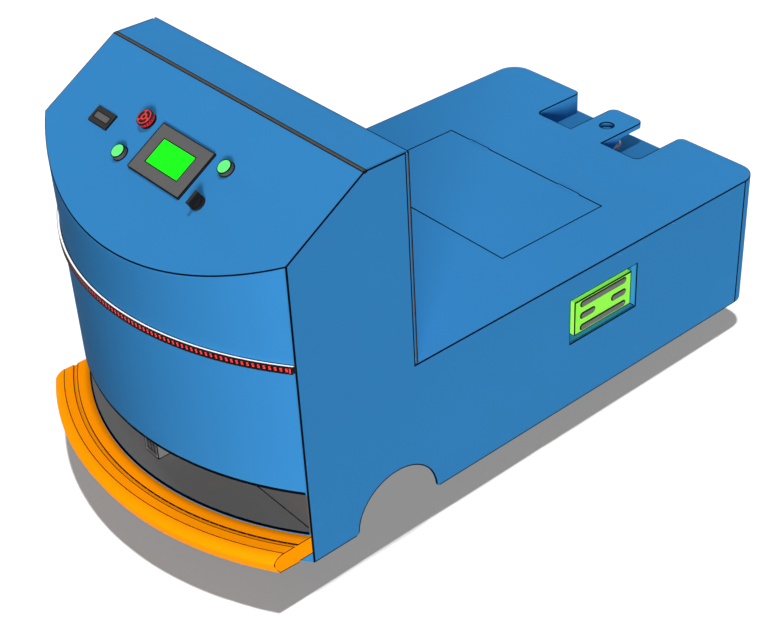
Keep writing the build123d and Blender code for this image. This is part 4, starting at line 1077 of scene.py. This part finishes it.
# Service door: latches, louvres and screws on its upright plate
door = {
    "face": 0.2053, "sink": 0.0002, "latch": (0.0105, 0.0034, 24), "latchY": 0.215, "latchZ": 0.612,
    "slot": (0.0008, 0.0022, 0.0120), "slotOut": 0.0046, "slotTurn": 0.6,
    "louvre": (0.0050, 0.150, 0.0022), "louvreOut": 0.0014, "louvreY": 0.12, "louvreZ": (0.40, 0.52),
    "louvreRows": 9, "louvreTilt": -38,
    "shade": (0.0006, 0.146, 0.0034), "shadeDrop": 0.0038, "shadeOut": 0.0001,
    "screw": (0.0040, 0.0018, 6), "screwY": (-0.27, -0.09, 0.09, 0.27), "screwZ": (0.335, 0.635),
}


def onDoor(places, out, drop=0.0):
    return [(door["face"] - out, y, z - drop) for y, z in places]


outward = facing(-1, 0, 0)
places = [(side * door["latchY"], door["latchZ"]) for side in (-1, 1)]
heads("doorLatches", door["latch"], onDoor(places, -door["sink"]), zinc, outward, "service_door")
turn = Matrix.Rotation(door["slotTurn"], 3, "X").to_quaternion()
bars("doorLatchSlots", door["slot"], onDoor(places, door["slotOut"]), darkRubber, "service_door", turn)
tilt = Matrix.Rotation(math.radians(door["louvreTilt"]), 3, "Y").to_quaternion()
low, high = door["louvreZ"]
places = [(side * door["louvreY"], low + (high - low) * k / (door["louvreRows"] - 1))
          for side in (-1, 1) for k in range(door["louvreRows"])]
bars("doorLouvres", door["louvre"], onDoor(places, door["louvreOut"]), bodyBlue, "service_door", tilt)
# a thin dark bar just under each louvre: painted shade
shades = onDoor(places, door["shadeOut"], door["shadeDrop"])
bars("doorLouvreShade", door["shade"], shades, darkRubber, "service_door")
places = [(y, z) for z in door["screwZ"] for y in door["screwY"]]
heads("doorScrews", door["screw"], onDoor(places, -door["sink"]), zinc, outward, "service_door")
print("service door detailed")

# Electronics: fins, terminal rows, screws and lamps on each module, which has middle y, z, width and height
modules = ((-0.170, 0.480, 0.150, 0.100), (-0.010, 0.480, 0.110, 0.120), (0.150, 0.480, 0.130, 0.090),
           (-0.120, 0.300, 0.120, 0.110), (0.060, 0.300, 0.160, 0.070))
moduleParts = {
    "fin": (0.0056, 0.0018, 0.034), "finPitch": 0.008, "finRise": 0.08,
    "terminal": (0.0050, 0.0072, 0.0080), "terminalPitch": 0.010,
    "terminalInset": 0.006, "terminalOut": 0.0022,
    "screw": (0.0032, 0.0020, 6), "screwPlace": (0.006, 0.012), "sink": 0.0002,
    "light": (0.0014, 0.0040, 0.0040), "lightPlace": (0.012, 0.30), "lightOut": 0.0006,
}
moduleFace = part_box("control_modules")[0][0]
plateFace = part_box("electronics_plate")[0][0]


# Even spots along a width, one for each whole pitch
def spread(width, pitch):
    return [-width / 2 + pitch / 2 + pitch * k for k in range(int(width / pitch))]


fins, terminals, corners, lights = [], [], [], []
finX, screwX = moduleFace - moduleParts["fin"][0] / 2, plateFace + moduleParts["sink"]
terminalX, lightX = moduleFace - moduleParts["terminalOut"], moduleFace - moduleParts["lightOut"]
for y, z, width, height in modules:
    fins += [(finX, y + shift, z + height * moduleParts["finRise"])
             for shift in spread(width, moduleParts["finPitch"])]
    rise = height / 2 - moduleParts["terminalInset"]
    terminals += [(terminalX, y + shift, z + end * rise)
                  for shift in spread(width, moduleParts["terminalPitch"]) for end in (-1, 1)]
    aside, inset = moduleParts["screwPlace"]
    corners += [(screwX, y + sy * (width / 2 + aside), z + sz * (height / 2 - inset))
                for sy in (-1, 1) for sz in (-1, 1)]
    aside, drop = moduleParts["lightPlace"]
    lights.append((lightX, y + width / 2 - aside, z - height * drop))
bars("moduleFins", moduleParts["fin"], fins, aluminium)
terminalGreen = plastic("terminalGreen", linear(58, 128, 66), 0.45)
bars("moduleTerminals", moduleParts["terminal"], terminals, terminalGreen)
heads("moduleScrews", moduleParts["screw"], corners, zinc, outward)
bars("moduleLights", moduleParts["light"], lights, lampRed)

# Cable ducts across the plate, with a row of slots each
duct = {"depth": 0.030, "width": 0.024, "run": (-0.27, 0.24), "heights": (0.400, 0.565, 0.225),
        "slot": (0.0006, 0.0035, 0.0180), "slotStart": 0.008, "slotPitch": 0.012, "slotOut": 0.0001,
        "sink": 0.0002}
mesh = bmesh.new()
first, last = duct["run"]
front, slots = plateFace - duct["depth"], []
for z in duct["heights"]:
    foot = rectangle((front, first), (plateFace + duct["sink"], last), 2, z - duct["width"] / 2)
    slab(mesh, foot, (0, 0, duct["width"]))
    slots += [(front - duct["slotOut"], first + duct["slotStart"] + duct["slotPitch"] * k, z)
              for k in range(int((last - first) / duct["slotPitch"]))]
finishPiece("cableDucts", mesh, caseGrey)
bars("ductSlots", duct["slot"], slots, darkRubber)
print("electronics detailed")

# Battery: posts on coloured seats and ribs on the lid
battery = {
    "post": (0.0070, 0.0050, 20), "postSeat": (0.0120, 0.0012, 28), "postPlace": (0.022, 0.135),
    "sink": 0.0002,
    "rib": (0.120, 0.0040, 0.0014), "ribPitch": 0.018, "ribEnds": 6, "ribAhead": 0.012, "ribLift": 0.0005,
}
low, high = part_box("battery_pack")
ahead, aside = battery["postPlace"]
posts = [(low[0] + ahead, side * aside, high[2] - battery["sink"]) for side in (-1, 1)]
skyward = facing(0, 0, 1)
heads("batteryPosts", battery["post"], posts, zinc, skyward)
heads("batteryPostSeatPlus", battery["postSeat"], posts[1:], mushroomRed, skyward)
heads("batteryPostSeatMinus", battery["postSeat"], posts[:1], blackPlastic, skyward)
ribX = (low[0] + high[0]) / 2 + battery["ribAhead"]
ribs = [(ribX, k * battery["ribPitch"], high[2] + battery["ribLift"])
        for k in range(-battery["ribEnds"], battery["ribEnds"] + 1)]
bars("batteryLidRibs", battery["rib"], ribs, caseGrey)
print("battery detailed")

# Drive motors: cooling rings ride on the swivelling bogie
cooling = {"pitch": 0.0115, "ends": 5, "sink": 0.0008, "proud": 0.0014, "half": 0.0012}
low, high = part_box("drive_motors")
motorX, motorZ, motorR = (low[0] + high[0]) / 2, (low[2] + high[2]) / 2, (high[0] - low[0]) / 2
inner, outer, half = motorR - cooling["sink"], motorR + cooling["proud"], cooling["half"]
mesh = bmesh.new()
for k in range(-cooling["ends"], cooling["ends"] + 1):
    lathe(mesh, [(inner, -half), (outer, -half), (outer, half), (inner, half), (inner, -half)],
          (motorX, k * cooling["pitch"], motorZ), (0, 1, 0), 32)
finishPiece("motorRings", mesh, frameGrey, "drive_bogie")
print("motors detailed")
